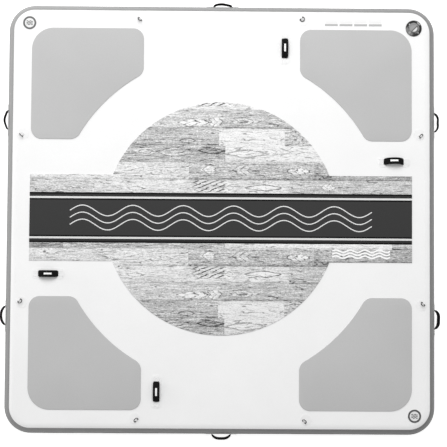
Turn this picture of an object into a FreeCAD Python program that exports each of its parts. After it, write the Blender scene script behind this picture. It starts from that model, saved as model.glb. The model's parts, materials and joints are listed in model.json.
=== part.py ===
"""Square inflatable swim platform: drop-stitch hull, foam deck pads, valve, D-rings and handles.

Millimetres. +Z is up, the origin is the centre of the underside, +Y is the rear edge of the deck.
"""
import FreeCAD, Part
import Sketcher
import math
import os

Vector = FreeCAD.Vector
Rotation = FreeCAD.Rotation
Placement = FreeCAD.Placement

X_AXIS = Vector(1, 0, 0)
Z_AXIS = Vector(0, 0, 1)

# Driving dimensions: alias, value, meaning.
DRIVING = [
    ("overall_width", 3048, "hull side, over the bulged side walls"),
    ("thickness", 152.4, "hull height, inflated"),
    ("plan_corner", 188, "plan radius of the hull corners at mid height"),
    ("skin", 1.5, "laminated skin and side wall"),
    ("seam_angle", 62, "degrees above the middle of the bulge where a panel meets the side wall"),
    ("tape_width", 25, "seam tape inside the hull"),
    ("glue_gap", 0.2, "clearance left for glue between curved layers"),
    ("yarn_diameter", 6, "one bundle of drop-stitch yarns"),
    ("yarn_pitch", 240, "spacing of the yarn bundles"),
    ("yarn_rows", 11, "yarn bundles in a row"),
    ("foam", 5, "foam deck pads"),
    ("foam_bevel", 1.5, "bevel round the top of a pad"),
    ("pad_outer", 1354, "outer edges of a corner pad from the deck centre lines"),
    ("pad_inner", 557, "inner edges of a corner pad from the deck centre lines"),
    ("pad_sweep", 1170, "radius of the concave edge about the deck centre"),
    ("pad_outer_corner", 155, "round of the outermost corner"),
    ("pad_corner", 78, "round of the other corners"),
    ("wood_disc", 828, "radius of the round part of the centre pad"),
    ("wood_half_length", 1356, "half length of the strip across the deck"),
    ("wood_half_depth", 307, "half depth of the strip"),
    ("stripe_half_depth", 178, "half depth of the middle stripe pad"),
    ("badge_radius", 50, "round badges"),
    ("badge_height", 1.2, "thickness of a badge"),
    ("badge_across", 1373, "badge centre from the deck centre along X"),
    ("badge_along", 1388, "badge centre from the deck centre along Y"),
    ("valve_offset", 1369, "valve centre from the deck centre lines"),
    ("barrel_radius", 25, "outside of the valve barrel"),
    ("barrel_bore", 20, "inside of the valve barrel"),
    ("barrel_depth", 42, "barrel below the deck"),
    ("barrel_floor", 3, "floor at the bottom of the barrel"),
    ("port_radius", 4.5, "air ports in the barrel floor"),
    ("port_offset", 11, "air ports from the valve axis"),
    ("port_count", 6, "air ports"),
    ("gasket", 1.5, "valve gasket"),
    ("gasket_radius", 38, "outside of the gasket and of the narrow end of the back nut"),
    ("flange_radius", 57.5, "valve flange"),
    ("flange_top", 6, "flange top above the deck"),
    ("flange_bevel", 2, "bevel round the flange"),
    ("collar_top", 8, "top of the collar round the bore"),
    ("collar_bevel", 1, "bevel of the collar"),
    ("nut_radius", 42, "back nut inside the hull"),
    ("nut_depth", 11, "depth of the back nut"),
    ("nut_rim", 4, "depth of the wide end of the back nut"),
    ("nut_clearance", 0.1, "clearance of the thread between barrel and back nut"),
    ("nut_notch", 5, "radius of the spanner notches in the back nut"),
    ("nut_notches", 8, "spanner notches in the back nut"),
    ("lug_hole_offset", 44, "see-through holes in the flange from the valve axis"),
    ("lug_hole_radius", 5, "see-through holes in the flange"),
    ("hinge_offset", 50, "leash pin from the valve axis"),
    ("hinge_height", 9.5, "leash pin above the deck"),
    ("pin_radius", 1.5, "leash pin"),
    ("pin_length", 28, "length of the leash pin"),
    ("pin_grip", 0.05, "clearance of the leash pin in its lugs"),
    ("pin_play", 0.1, "clearance of the leash on its pin"),
    ("lug_half_length", 4, "half length of the pin lugs along the leash"),
    ("lug_rise", 3.5, "lug top above the leash pin"),
    ("lug_root", 1, "depth of the lugs in the flange"),
    ("lug_span", 26, "width over the two pin lugs"),
    ("lug_gap", 17, "width between the two pin lugs"),
    ("leash_bottom", 8.4, "underside of the leash above the deck"),
    ("leash_top", 10.2, "top of the leash above the deck"),
    ("leash_tongue", 16, "width of the leash tongue and knuckle"),
    ("leash_overlap", 2, "overlap of the tongue and the leash ring"),
    ("knuckle_wall", 1.7, "wall of the knuckle round the leash pin"),
    ("cap_radius", 33, "valve cap"),
    ("cap_neck", 24.2, "cap neck inside the leash"),
    ("neck_play", 0.4, "clearance of the leash round the cap neck"),
    ("cap_plug", 18.8, "cap plug inside the bore"),
    ("cap_hollow", 15, "hollow under the plug"),
    ("cap_shoulder", 9.4, "top of the plug above the deck"),
    ("cap_bottom", 10.5, "underside of the cap flange above the deck"),
    ("cap_top", 16, "top of the cap above the deck"),
    ("cap_bevel", 1.5, "bevel round the cap"),
    ("cap_rim", 4, "rim width round the recess of the cap"),
    ("cap_recess", 12.5, "floor of the recess above the deck"),
    ("recess_slope", 1, "slope of the recess wall"),
    ("bar_width", 9, "width of the grip bar"),
    ("bar_inset", 3.5, "grip bar ends from the cap edge"),
    ("bar_root", 0.5, "depth of the grip bar in the recess floor"),
    ("bar_depth", 5.5, "height of the grip bar from its root"),
    ("cap_seal", 1.3, "face seal under the cap"),
    ("seal_inset", 0.2, "face seal edge inside the cap neck"),
    ("stem_radius", 2.6, "valve stem"),
    ("stem_clearance", 0.1, "stem to its guide hole"),
    ("stem_button", 6.5, "push button on the stem"),
    ("button_top", 8.5, "depth of the button top below the deck"),
    ("button_depth", 3.5, "height of the push button"),
    ("button_bevel", 1, "bevel round the push button"),
    ("stem_foot", 5.5, "foot of the stem under the seal disc"),
    ("foot_depth", 5, "underside of the foot below the barrel"),
    ("foot_height", 2.3, "height of the foot"),
    ("disc_radius", 18, "seal disc under the barrel floor"),
    ("disc_depth", 2.4, "thickness of the seal disc"),
    ("disc_taper", 0.5, "taper of the seal disc"),
    ("disc_play", 0.05, "clearance of the seal disc on the stem"),
    ("disc_gap", 0.1, "clearance between barrel floor and seal disc"),
    ("spring_wire", 0.6, "radius of the spring wire"),
    ("spring_radius", 4.6, "radius of the spring to the middle of its wire"),
    ("spring_turns", 5, "turns of the spring"),
    ("spring_gap", 0.1, "clearance at each end of the spring"),
    ("patch", 1.5, "reinforcing patches under rings and handles"),
    ("ring_wire", 5, "D-ring wire"),
    ("ring_half", 15.5, "half width of a D-ring at the middle of its wire"),
    ("ring_leg", 10, "straight leg of a D-ring"),
    ("ring_bend", 3.5, "bend between bar and leg"),
    ("ring_patch", 40, "radius of a D-ring patch"),
    ("ring_droop", 4, "degrees a D-ring droops from its bar on to the deck"),
    ("ring_edge", 1426, "D-ring bars from the deck centre line, near an edge"),
    ("ring_offset", 586, "D-ring bars from the other centre line"),
    ("tab_width", 24, "webbing tab that holds a D-ring"),
    ("tab_webbing", 1.2, "thickness of the tab webbing"),
    ("tab_tail", 20, "glued tail of a tab"),
    ("tab_clearance", 0.3, "tab loop to the ring bar"),
    ("handle_chord", 70, "half span of a handle at its base"),
    ("handle_rise", 33.5, "rise of the handle webbing above its base"),
    ("handle_webbing", 2, "thickness of the handle webbing"),
    ("handle_webbing_width", 38, "width of the handle webbing"),
    ("sleeve", 12, "thickness of the padded sleeve"),
    ("sleeve_width", 48, "width of the padded sleeve"),
    ("sleeve_angle", 45.5, "half angle of the sleeve round its arc"),
    ("sleeve_round", 3, "round of the sleeve edges"),
    ("sleeve_play", 0.3, "clearance of the webbing inside its sleeve"),
    ("handle_lean", 30, "lean of a handle to either side"),
    ("handle_gap", 0.3, "clearance under the handle ends"),
    ("handle_patch_half", 118, "half length of a handle patch"),
    ("handle_patch_width", 78, "width of a handle patch"),
    ("handle_near", 411, "deck handles from one centre line, sides"),
    ("handle_far", 1218, "deck handles from the other centre line"),
    ("handle_shift", 448, "deck handles from the X centre, front and rear"),
    ("side_handle_offset", 703, "side handles from the centre line"),
]

BULGE = "sheet.thickness / 2"
FLAT_HALF = "(sheet.overall_width - sheet.thickness) / 2"
FLAT_CORNER = "(sheet.plan_corner - sheet.thickness / 2)"

doc = FreeCAD.newDocument("swim_platform")
sheet = doc.addObject("Spreadsheet::Sheet", "sheet")
for row, (alias, dimension, meaning) in enumerate(DRIVING, start=1):
    sheet.set(f"A{row}", meaning)
    sheet.set(f"B{row}", str(dimension))
    sheet.setAlias(f"B{row}", alias)
doc.recompute()

sub_parts = []


# ---------------------------------------------------------------- helpers

def number(expression):
    """Value of an expression on the driving dimensions."""
    result = reader.evalExpression(expression)
    return float(getattr(result, "Value", result))


reader = doc.addObject("App::FeaturePython", "reader")


def bind(thing, **expressions):
    """Bind properties of an object to expressions on the sheet."""
    for name, expression in expressions.items():
        thing.setExpression(name, expression)


def put(thing, x="0", y="0", z="0", rotation=Rotation()):
    """Place an object, with its position bound to the sheet."""
    thing.Placement = Placement(Vector(), rotation)
    for name, expression in (("x", x), ("y", y), ("z", z)):
        thing.setExpression(f"Placement.Base.{name}", expression)


def new_body(label):
    """A PartDesign body that becomes the node called label."""
    body = doc.addObject("PartDesign::Body", label)
    body.Label = label
    body.AllowCompound = True
    sub_parts.append(body)
    return body


def new_sketch(body, name, role="XY_Plane", height="0"):
    """A sketch on one of the body's own planes, shifted along its normal."""
    sketch = body.newObject("Sketcher::SketchObject", f"{body.Label}_{name}")
    plane = next(item for item in body.Origin.OriginFeatures if item.Role == role)
    sketch.AttachmentSupport = [(plane, "")]
    sketch.MapMode = "FlatFace"
    sketch.setExpression("AttachmentOffset.Base.z", height)
    return sketch


def fix_point(sketch, geometry, position, x=None, y=None):
    """Fix a point of the sketch at x, y; an omitted value leaves that way free."""
    for kind, expression, axis in (("DistanceX", x, -2), ("DistanceY", y, -1)):
        if expression is None:
            continue
        where = number(expression)
        if abs(where) < 1e-6:
            sketch.addConstraint(Sketcher.Constraint("PointOnObject", geometry, position, axis))
            continue
        index = sketch.addConstraint(Sketcher.Constraint(kind, -1, 1, geometry, position, where))
        sketch.setExpression(f"Constraints[{index}]", expression)


def set_radius(sketch, geometry, expression):
    """Bind the radius of a circle or an arc."""
    index = sketch.addConstraint(Sketcher.Constraint("Radius", geometry, number(expression)))
    sketch.setExpression(f"Constraints[{index}]", expression)


def circle(sketch, radius, x="0", y="0"):
    """A circle of bound radius and centre."""
    centre = Vector(number(x), number(y), 0)
    index = sketch.addGeometry(Part.Circle(centre, Z_AXIS, number(radius)))
    set_radius(sketch, index, radius)
    fix_point(sketch, index, 3, x, y)


def polygon(sketch, corners):
    """A closed outline of straight lines through corners given as expressions."""
    points = [Vector(number(x), number(y), 0) for x, y in corners]
    count = len(points)
    lines = [sketch.addGeometry(Part.LineSegment(points[i], points[(i + 1) % count])) for i in range(count)]
    for i in range(count):
        sketch.addConstraint(Sketcher.Constraint("Coincident", lines[i], 2, lines[(i + 1) % count], 1))
        fix_point(sketch, lines[i], 1, *corners[i])


def swept_outline(sketch, corners, radius):
    """A closed outline whose last side is an arc about the sketch origin; its ends stay on the circle."""
    points = [Vector(number(x), number(y), 0) for x, y in corners]
    last = len(points) - 1
    lines = [sketch.addGeometry(Part.LineSegment(points[i], points[i + 1])) for i in range(last)]
    angles = sorted([math.atan2(points[0].y, points[0].x), math.atan2(points[last].y, points[last].x)])
    arc = sketch.addGeometry(Part.ArcOfCircle(Part.Circle(Vector(), Z_AXIS, number(radius)), *angles))
    starts_low = math.atan2(points[0].y, points[0].x) < math.atan2(points[last].y, points[last].x)
    sketch.addConstraint(Sketcher.Constraint("Coincident", arc, 3, -1, 1))
    set_radius(sketch, arc, radius)
    sketch.addConstraint(Sketcher.Constraint("Coincident", arc, 1 if starts_low else 2, lines[0], 1))
    sketch.addConstraint(Sketcher.Constraint("Coincident", arc, 2 if starts_low else 1, lines[-1], 2))
    for i in range(1, last):
        sketch.addConstraint(Sketcher.Constraint("Coincident", lines[i - 1], 2, lines[i], 1))
        fix_point(sketch, lines[i], 1, *corners[i])
    for line, position, (x, y) in ((lines[0], 1, corners[0]), (lines[-1], 2, corners[last])):
        if abs(points[0].x) < abs(points[0].y):
            fix_point(sketch, line, position, x=x)
        else:
            fix_point(sketch, line, position, y=y)


def rounded_rectangle(sketch, half_x, half_y, corner, x="0", y="0"):
    """A rectangle about x, y with four equal round corners."""
    hx, hy, r = number(half_x), number(half_y), number(corner)
    middle = Vector(number(x), number(y), 0)
    lines = []
    arcs = []
    for turn in range(4):
        along, across = (hx, hy) if turn % 2 == 0 else (hy, hx)
        spin = Rotation(Z_AXIS, -90 * turn)
        start = middle + spin.multVec(Vector(-along + r, across, 0))
        end = middle + spin.multVec(Vector(along - r, across, 0))
        centre = middle + spin.multVec(Vector(along - r, across - r, 0))
        first = math.radians(-90 * turn)
        lines.append(sketch.addGeometry(Part.LineSegment(start, end)))
        round_corner = Part.ArcOfCircle(Part.Circle(centre, Z_AXIS, r), first, first + math.pi / 2)
        arcs.append(sketch.addGeometry(round_corner))
    for turn in range(4):
        following = lines[(turn + 1) % 4]
        sketch.addConstraint(Sketcher.Constraint("Tangent", lines[turn], 2, arcs[turn], 2))
        sketch.addConstraint(Sketcher.Constraint("Tangent", arcs[turn], 1, following, 1))
        sketch.addConstraint(Sketcher.Constraint("Vertical" if turn % 2 else "Horizontal", lines[turn]))
    for arc in arcs[1:]:
        sketch.addConstraint(Sketcher.Constraint("Equal", arcs[0], arc))
    set_radius(sketch, arcs[0], corner)
    fix_point(sketch, lines[0], 1, y=f"{y} + {half_y}")
    fix_point(sketch, lines[1], 1, x=f"{x} + {half_x}")
    fix_point(sketch, lines[2], 1, y=f"{y} - ({half_y})")
    fix_point(sketch, lines[3], 1, x=f"{x} - ({half_x})")


def sector(sketch, inner, outer, from_angle, to_angle, x="0", y="0"):
    """A slice of a ring between two radii and two angles in degrees, about x, y."""
    centre = Vector(number(x), number(y), 0)
    low, high = math.radians(number(from_angle)), math.radians(number(to_angle))
    radii = number(inner), number(outer)
    corners = [[centre + Vector(r * math.cos(a), r * math.sin(a), 0) for r in radii] for a in (low, high)]
    arcs = [sketch.addGeometry(Part.ArcOfCircle(Part.Circle(centre, Z_AXIS, r), low, high)) for r in radii]
    sides = [sketch.addGeometry(Part.LineSegment(*corner)) for corner in corners]
    sketch.addConstraint(Sketcher.Constraint("Coincident", arcs[0], 3, arcs[1], 3))
    fix_point(sketch, arcs[0], 3, x, y)
    for arc, expression, end in ((arcs[0], inner, 1), (arcs[1], outer, 2)):
        set_radius(sketch, arc, expression)
        sketch.addConstraint(Sketcher.Constraint("Coincident", arc, 1, sides[0], end))
        sketch.addConstraint(Sketcher.Constraint("Coincident", arc, 2, sides[1], end))
    for side, expression in zip(sides, (from_angle, to_angle)):
        sketch.addConstraint(Sketcher.Constraint("PointOnObject", arcs[0], 3, side))
        angle = math.radians(number(expression))
        index = sketch.addConstraint(Sketcher.Constraint("Angle", side, angle))
        sketch.setExpression(f"Constraints[{index}]", f"({expression}) * 1 deg")


def pad(body, sketch, length, midplane=False):
    """Pad a sketch along its normal."""
    feature = body.newObject("PartDesign::Pad", f"{sketch.Name}_pad")
    feature.Profile = sketch
    feature.Midplane = midplane
    bind(feature, Length=length)
    doc.recompute()
    return feature


def pocket(body, sketch, length=None, midplane=False, reverse=False):
    """Cut a sketch out of the body, through all of it unless a length is given."""
    before = body.Shape.Volume
    feature = body.newObject("PartDesign::Pocket", f"{sketch.Name}_pocket")
    feature.Profile = sketch
    feature.Midplane = midplane
    feature.Reversed = reverse
    if length is None:
        feature.Type = "ThroughAll"
    else:
        bind(feature, Length=length)
    doc.recompute()
    assert body.Shape.Volume < before - 1e-3, f"{sketch.Name} cuts nothing"
    return feature


def revolve(body, sketch):
    """Turn a sketch in the XZ plane once round the body's own Z axis."""
    feature = body.newObject("PartDesign::Revolution", f"{sketch.Name}_turn")
    feature.Profile = sketch
    feature.ReferenceAxis = (sketch, ["V_Axis"])
    feature.Angle = 360
    doc.recompute()
    return feature


def polar(body, features, count):
    """Repeat features about the body's own Z axis."""
    axis = next(item for item in body.Origin.OriginFeatures if item.Role == "Z_Axis")
    pattern = body.newObject("PartDesign::PolarPattern", f"{features[0].Name}_around")
    pattern.Originals = features
    pattern.Axis = (axis, [""])
    pattern.Angle = 360
    bind(pattern, Occurrences=count)
    body.Tip = pattern
    doc.recompute()
    return pattern


def sweep(body, profile, path):
    """Sweep a profile along a closed path."""
    feature = body.newObject("PartDesign::AdditivePipe", f"{profile.Name}_sweep")
    feature.Profile = profile
    feature.Spine = (path, [])
    feature.Transition = "Right corner"
    doc.recompute()
    return feature


def dress(body, kind, size, chosen):
    """Fillet or chamfer the edges of the body's tip for which chosen(edge) is true."""
    tip = body.Tip
    names = [f"Edge{i}" for i, edge in enumerate(tip.Shape.Edges, start=1) if chosen(edge)]
    feature = body.newObject(f"PartDesign::{kind}", f"{body.Label}_{kind.lower()}_{len(body.Group)}")
    feature.Base = (tip, names)
    bind(feature, **{"Radius" if kind == "Fillet" else "Size": size})
    doc.recompute()
    return feature


def is_upright(edge):
    """True for a straight edge along Z."""
    ends = [vertex.Point for vertex in edge.Vertexes]
    return len(ends) == 2 and (ends[0] - ends[1]).cross(Z_AXIS).Length < 1e-6


def at_height(height):
    """A test for edges that lie wholly at one height."""
    return lambda edge: all(abs(vertex.Point.z - height) < 1e-6 for vertex in edge.Vertexes)


def group(label, members):
    """One node that holds several separate solids."""
    compound = doc.addObject("Part::Compound", label)
    compound.Label = label
    compound.Links = members
    for member in members:
        sub_parts.remove(member)
    sub_parts.append(compound)
    return compound


# ---------------------------------------------------------------- hull

def panel(label):
    """A flat deck panel whose rim wraps over the bulge down to the seam; faces +Z."""
    body = new_body(label)
    flat = new_sketch(body, "flat", height="sheet.thickness - sheet.skin")
    rounded_rectangle(flat, FLAT_HALF, FLAT_HALF, FLAT_CORNER)
    pad(body, flat, "sheet.skin")
    rim_strip(body, "lip", f"{BULGE} - sheet.skin", BULGE, "sheet.seam_angle", "90")
    return body


def rim_strip(body, name, inner, outer, from_angle, to_angle):
    """A strip that follows the bulge of the side wall all the way round the hull."""
    path = new_sketch(body, f"{name}_path", height=BULGE)
    rounded_rectangle(path, FLAT_HALF, FLAT_HALF, FLAT_CORNER)
    profile = new_sketch(body, f"{name}_profile", "YZ_Plane")
    sector(profile, inner, outer, from_angle, to_angle, x=FLAT_HALF, y=BULGE)
    sweep(body, profile, path)


def make_hull():
    """Top and bottom panels, side wall, inner seam tapes and the yarns that hold the panels flat."""
    top = panel("top_panel")
    hole = new_sketch(top, "valve_hole", height="sheet.thickness")
    circle(hole, "sheet.barrel_radius + sheet.glue_gap", "sheet.valve_offset", "sheet.valve_offset")
    pocket(top, hole, "sheet.skin")

    bottom = panel("bottom_panel")
    put(bottom, z="sheet.thickness", rotation=Rotation(X_AXIS, 180))

    wall = new_body("side_wall")
    rim_strip(wall, "wall", f"{BULGE} - sheet.skin", BULGE, "-sheet.seam_angle", "sheet.seam_angle")

    outside = f"({BULGE} - sheet.skin - sheet.glue_gap)"
    spread = f"sheet.tape_width / {outside} * 90 / pi"
    for label, side in (("upper_seam_tape", "1"), ("lower_seam_tape", "-1")):
        tape = new_body(label)
        middle = f"{side} * sheet.seam_angle"
        limits = f"{middle} - {spread}", f"{middle} + {spread}"
        rim_strip(tape, "tape", f"{outside} - sheet.skin", outside, *limits)

    yarns = new_body("drop_stitch_yarns")
    bundle = new_sketch(yarns, "bundle", height="sheet.skin")
    first = "-sheet.yarn_pitch * (sheet.yarn_rows - 1) / 2"
    circle(bundle, "sheet.yarn_diameter / 2", first, first)
    column = pad(yarns, bundle, "sheet.thickness - 2 * sheet.skin")
    grid = yarns.newObject("PartDesign::MultiTransform", "yarn_grid")
    grid.Originals = [column]
    steps = []
    for role in ("X_Axis", "Y_Axis"):
        step = yarns.newObject("PartDesign::LinearPattern", f"yarn_{role}")
        axis = next(item for item in yarns.Origin.OriginFeatures if item.Role == role)
        step.Direction = (axis, [""])
        bind(step, Length="sheet.yarn_pitch * (sheet.yarn_rows - 1)", Occurrences="sheet.yarn_rows")
        steps.append(step)
    grid.Transformations = steps
    yarns.Tip = grid
    doc.recompute()


# ---------------------------------------------------------------- deck pads and badges

def make_corner_pads():
    """Four foam corner pads: square outside, with a concave inner edge round the deck centre."""
    reach = "sqrt(sheet.pad_sweep ^ 2 - sheet.pad_inner ^ 2)"
    corners = [
        ("sheet.pad_inner", reach),
        ("sheet.pad_inner", "sheet.pad_outer"),
        ("sheet.pad_outer", "sheet.pad_outer"),
        ("sheet.pad_outer", "sheet.pad_inner"),
        (reach, "sheet.pad_inner"),
    ]
    outermost = number("sheet.pad_outer")
    places = ("rear_right", "rear_left", "front_left", "front_right")
    for turn, place in enumerate(places):
        body = new_body(f"corner_pad_{place}")
        shape = new_sketch(body, "outline")
        swept_outline(shape, corners, "sheet.pad_sweep")
        pad(body, shape, "sheet.foam")

        def outer_corner(edge):
            return is_upright(edge) and min(edge.Vertexes[0].X, edge.Vertexes[0].Y) > outermost - 1

        dress(body, "Fillet", "sheet.pad_outer_corner", outer_corner)
        dress(body, "Fillet", "sheet.pad_corner", is_foam_corner)
        dress(body, "Chamfer", "sheet.foam_bevel", at_height(number("sheet.foam")))
        put(body, z="sheet.thickness", rotation=Rotation(Z_AXIS, 90 * turn))


def is_foam_corner(edge):
    """True for an upright edge where two sides of a corner pad still meet at an angle."""
    if not is_upright(edge):
        return False
    inner = number("sheet.pad_inner")
    point = edge.Vertexes[0]
    return min(abs(point.X - inner), abs(point.Y - inner)) < 1e-3


def make_centre_pads():
    """Wood-look pad in two halves, a disc crossed by a strip, with a stripe pad between them."""
    shoulder = "sqrt(sheet.wood_disc ^ 2 - sheet.wood_half_depth ^ 2)"
    corners = [
        (shoulder, "sheet.wood_half_depth"),
        ("sheet.wood_half_length", "sheet.wood_half_depth"),
        ("sheet.wood_half_length", "sheet.stripe_half_depth"),
        ("-sheet.wood_half_length", "sheet.stripe_half_depth"),
        ("-sheet.wood_half_length", "sheet.wood_half_depth"),
        (f"-{shoulder}", "sheet.wood_half_depth"),
    ]
    for label, angle in (("wood_pad_rear", 0), ("wood_pad_front", 180)):
        body = new_body(label)
        shape = new_sketch(body, "outline")
        swept_outline(shape, corners, "sheet.wood_disc")
        pad(body, shape, "sheet.foam")
        put(body, z="sheet.thickness", rotation=Rotation(Z_AXIS, angle))

    stripe = new_body("stripe_pad")
    shape = new_sketch(stripe, "outline")
    x, y = "sheet.wood_half_length", "sheet.stripe_half_depth"
    polygon(shape, [(f"-{x}", f"-{y}"), (x, f"-{y}"), (x, y), (f"-{x}", y)])
    pad(stripe, shape, "sheet.foam")
    put(stripe, z="sheet.thickness")


def make_badges():
    """Two plain round badges on opposite corners of the deck."""
    body = new_body("round_badges")
    shape = new_sketch(body, "discs")
    circle(shape, "sheet.badge_radius", "-sheet.badge_across", "sheet.badge_along")
    circle(shape, "sheet.badge_radius", "sheet.badge_across", "-sheet.badge_along")
    pad(body, shape, "sheet.badge_height")
    put(body, z="sheet.thickness")


# ---------------------------------------------------------------- inflation valve

def valve_body_at_corner(label, turn=0):
    """A body on the valve axis, with its origin on the deck."""
    body = new_body(label)
    put(body, "sheet.valve_offset", "sheet.valve_offset", "sheet.thickness", Rotation(Z_AXIS, turn))
    return body


def turned(label, corners, turn=0):
    """A valve piece turned from one outline of radius and height."""
    body = valve_body_at_corner(label, turn)
    shape = new_sketch(body, "section", "XZ_Plane")
    polygon(shape, corners)
    revolve(body, shape)
    return body


def make_valve():
    """Flanged barrel, gasket, back nut, spring-loaded stem, and a cap held by a hinged leash."""
    toward_hinge = 225
    floor_top = "(sheet.barrel_floor - sheet.barrel_depth)"

    barrel = turned("valve_body", [
        ("sheet.stem_radius + sheet.stem_clearance", "-sheet.barrel_depth"),
        ("sheet.barrel_radius", "-sheet.barrel_depth"),
        ("sheet.barrel_radius", "sheet.gasket"),
        ("sheet.flange_radius", "sheet.gasket"),
        ("sheet.flange_radius", "sheet.flange_top - sheet.flange_bevel"),
        ("sheet.flange_radius - sheet.flange_bevel", "sheet.flange_top"),
        ("sheet.barrel_radius", "sheet.flange_top"),
        ("sheet.barrel_radius - sheet.collar_bevel", "sheet.collar_top"),
        ("sheet.barrel_bore", "sheet.collar_top"),
        ("sheet.barrel_bore", floor_top),
        ("sheet.stem_radius + sheet.stem_clearance", floor_top),
    ], toward_hinge)
    ports = new_sketch(barrel, "port", height=floor_top)
    circle(ports, "sheet.port_radius", "sheet.port_offset")
    polar(barrel, [pocket(barrel, ports, "sheet.barrel_floor")], "sheet.port_count")
    windows = new_sketch(barrel, "windows", height="sheet.flange_top")
    circle(windows, "sheet.lug_hole_radius", y="sheet.lug_hole_offset")
    circle(windows, "sheet.lug_hole_radius", y="-sheet.lug_hole_offset")
    pocket(barrel, windows, "sheet.flange_top")
    lugs = new_sketch(barrel, "lugs", "XZ_Plane")
    foot, tall = "sheet.flange_top - sheet.lug_root", "sheet.hinge_height + sheet.lug_rise"
    left = "sheet.hinge_offset - sheet.lug_half_length"
    right = "sheet.hinge_offset + sheet.lug_half_length"
    polygon(lugs, [(left, foot), (right, foot), (right, tall), (left, tall)])
    pad(barrel, lugs, "sheet.lug_span", midplane=True)
    room = new_sketch(barrel, "lug_room", "XZ_Plane")
    polygon(room, [(left, "sheet.flange_top"), (right, "sheet.flange_top"), (right, tall), (left, tall)])
    pocket(barrel, room, "sheet.lug_gap", midplane=True)
    eye = new_sketch(barrel, "pin_hole", "XZ_Plane")
    circle(eye, "sheet.pin_radius + sheet.pin_grip", "sheet.hinge_offset", "sheet.hinge_height")
    pocket(barrel, eye, midplane=True)

    turned("valve_gasket", [
        ("sheet.barrel_radius + sheet.glue_gap", "0"),
        ("sheet.gasket_radius", "0"),
        ("sheet.gasket_radius", "sheet.gasket"),
        ("sheet.barrel_radius + sheet.glue_gap", "sheet.gasket"),
    ])

    nut = turned("valve_back_nut", [
        ("sheet.barrel_radius + sheet.nut_clearance", "-sheet.skin - sheet.nut_depth"),
        ("sheet.gasket_radius", "-sheet.skin - sheet.nut_depth"),
        ("sheet.nut_radius", "-sheet.skin - sheet.nut_rim"),
        ("sheet.nut_radius", "-sheet.skin"),
        ("sheet.barrel_radius + sheet.nut_clearance", "-sheet.skin"),
    ])
    notch = new_sketch(nut, "notch", height="-sheet.skin")
    circle(notch, "sheet.nut_notch", "sheet.nut_radius")
    polar(nut, [pocket(nut, notch, "sheet.nut_depth")], "sheet.nut_notches")

    pin = new_body("valve_leash_pin")
    shape = new_sketch(pin, "section", "XZ_Plane")
    circle(shape, "sheet.pin_radius", "sheet.hinge_offset", "sheet.hinge_height")
    pad(pin, shape, "sheet.pin_length", midplane=True)
    put(pin, "sheet.valve_offset", "sheet.valve_offset", "sheet.thickness", Rotation(Z_AXIS, toward_hinge))

    make_leash(toward_hinge)
    make_cap(toward_hinge)

    foot = "(-sheet.barrel_depth - sheet.foot_depth)"
    under_button = "(-sheet.button_top - sheet.button_depth)"
    turned("valve_stem", [
        ("0", foot),
        ("sheet.stem_foot", foot),
        ("sheet.stem_foot", f"{foot} + sheet.foot_height"),
        ("sheet.stem_radius", f"{foot} + sheet.foot_height"),
        ("sheet.stem_radius", under_button),
        ("sheet.stem_button", under_button),
        ("sheet.stem_button", "-sheet.button_top - sheet.button_bevel"),
        ("sheet.stem_button - sheet.button_bevel", "-sheet.button_top"),
        ("0", "-sheet.button_top"),
    ])
    disc_top = "(-sheet.barrel_depth - sheet.disc_gap)"
    turned("valve_seal_disc", [
        ("sheet.stem_radius + sheet.disc_play", f"{disc_top} - sheet.disc_depth"),
        ("sheet.disc_radius - sheet.disc_taper", f"{disc_top} - sheet.disc_depth"),
        ("sheet.disc_radius", disc_top),
        ("sheet.stem_radius + sheet.disc_play", disc_top),
    ])

    spring = valve_body_at_corner("valve_spring")
    wire = new_sketch(spring, "wire", "XZ_Plane")
    end_room = "(sheet.spring_wire + sheet.spring_gap)"
    circle(wire, "sheet.spring_wire", "sheet.spring_radius", f"{floor_top} + {end_room}")
    coil = spring.newObject("PartDesign::AdditiveHelix", "valve_spring_coil")
    coil.Profile = wire
    coil.ReferenceAxis = (wire, ["V_Axis"])
    coil.Mode = "height-turns-growth"
    bind(coil, Height=f"{under_button} - {floor_top} - 2 * {end_room}", Turns="sheet.spring_turns")
    doc.recompute()


def make_leash(turn):
    """Ring round the cap neck with a tongue and an eye on the leash pin."""
    body = turned("valve_leash", [
        ("sheet.cap_neck + sheet.neck_play", "sheet.leash_bottom"),
        ("sheet.cap_radius", "sheet.leash_bottom"),
        ("sheet.cap_radius", "sheet.leash_top"),
        ("sheet.cap_neck + sheet.neck_play", "sheet.leash_top"),
    ], turn)
    tongue = new_sketch(body, "tongue", "XZ_Plane")
    start, end = "sheet.cap_radius - sheet.leash_overlap", "sheet.hinge_offset"
    polygon(tongue, [(start, "sheet.leash_bottom"), (end, "sheet.leash_bottom"),
                     (end, "sheet.leash_top"), (start, "sheet.leash_top")])
    pad(body, tongue, "sheet.leash_tongue", midplane=True)
    knuckle = new_sketch(body, "knuckle", "XZ_Plane")
    circle(knuckle, "sheet.pin_radius + sheet.knuckle_wall", "sheet.hinge_offset", "sheet.hinge_height")
    pad(body, knuckle, "sheet.leash_tongue", midplane=True)
    eye = new_sketch(body, "eye", "XZ_Plane")
    circle(eye, "sheet.pin_radius + sheet.pin_play", "sheet.hinge_offset", "sheet.hinge_height")
    pocket(body, eye, midplane=True)


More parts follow.
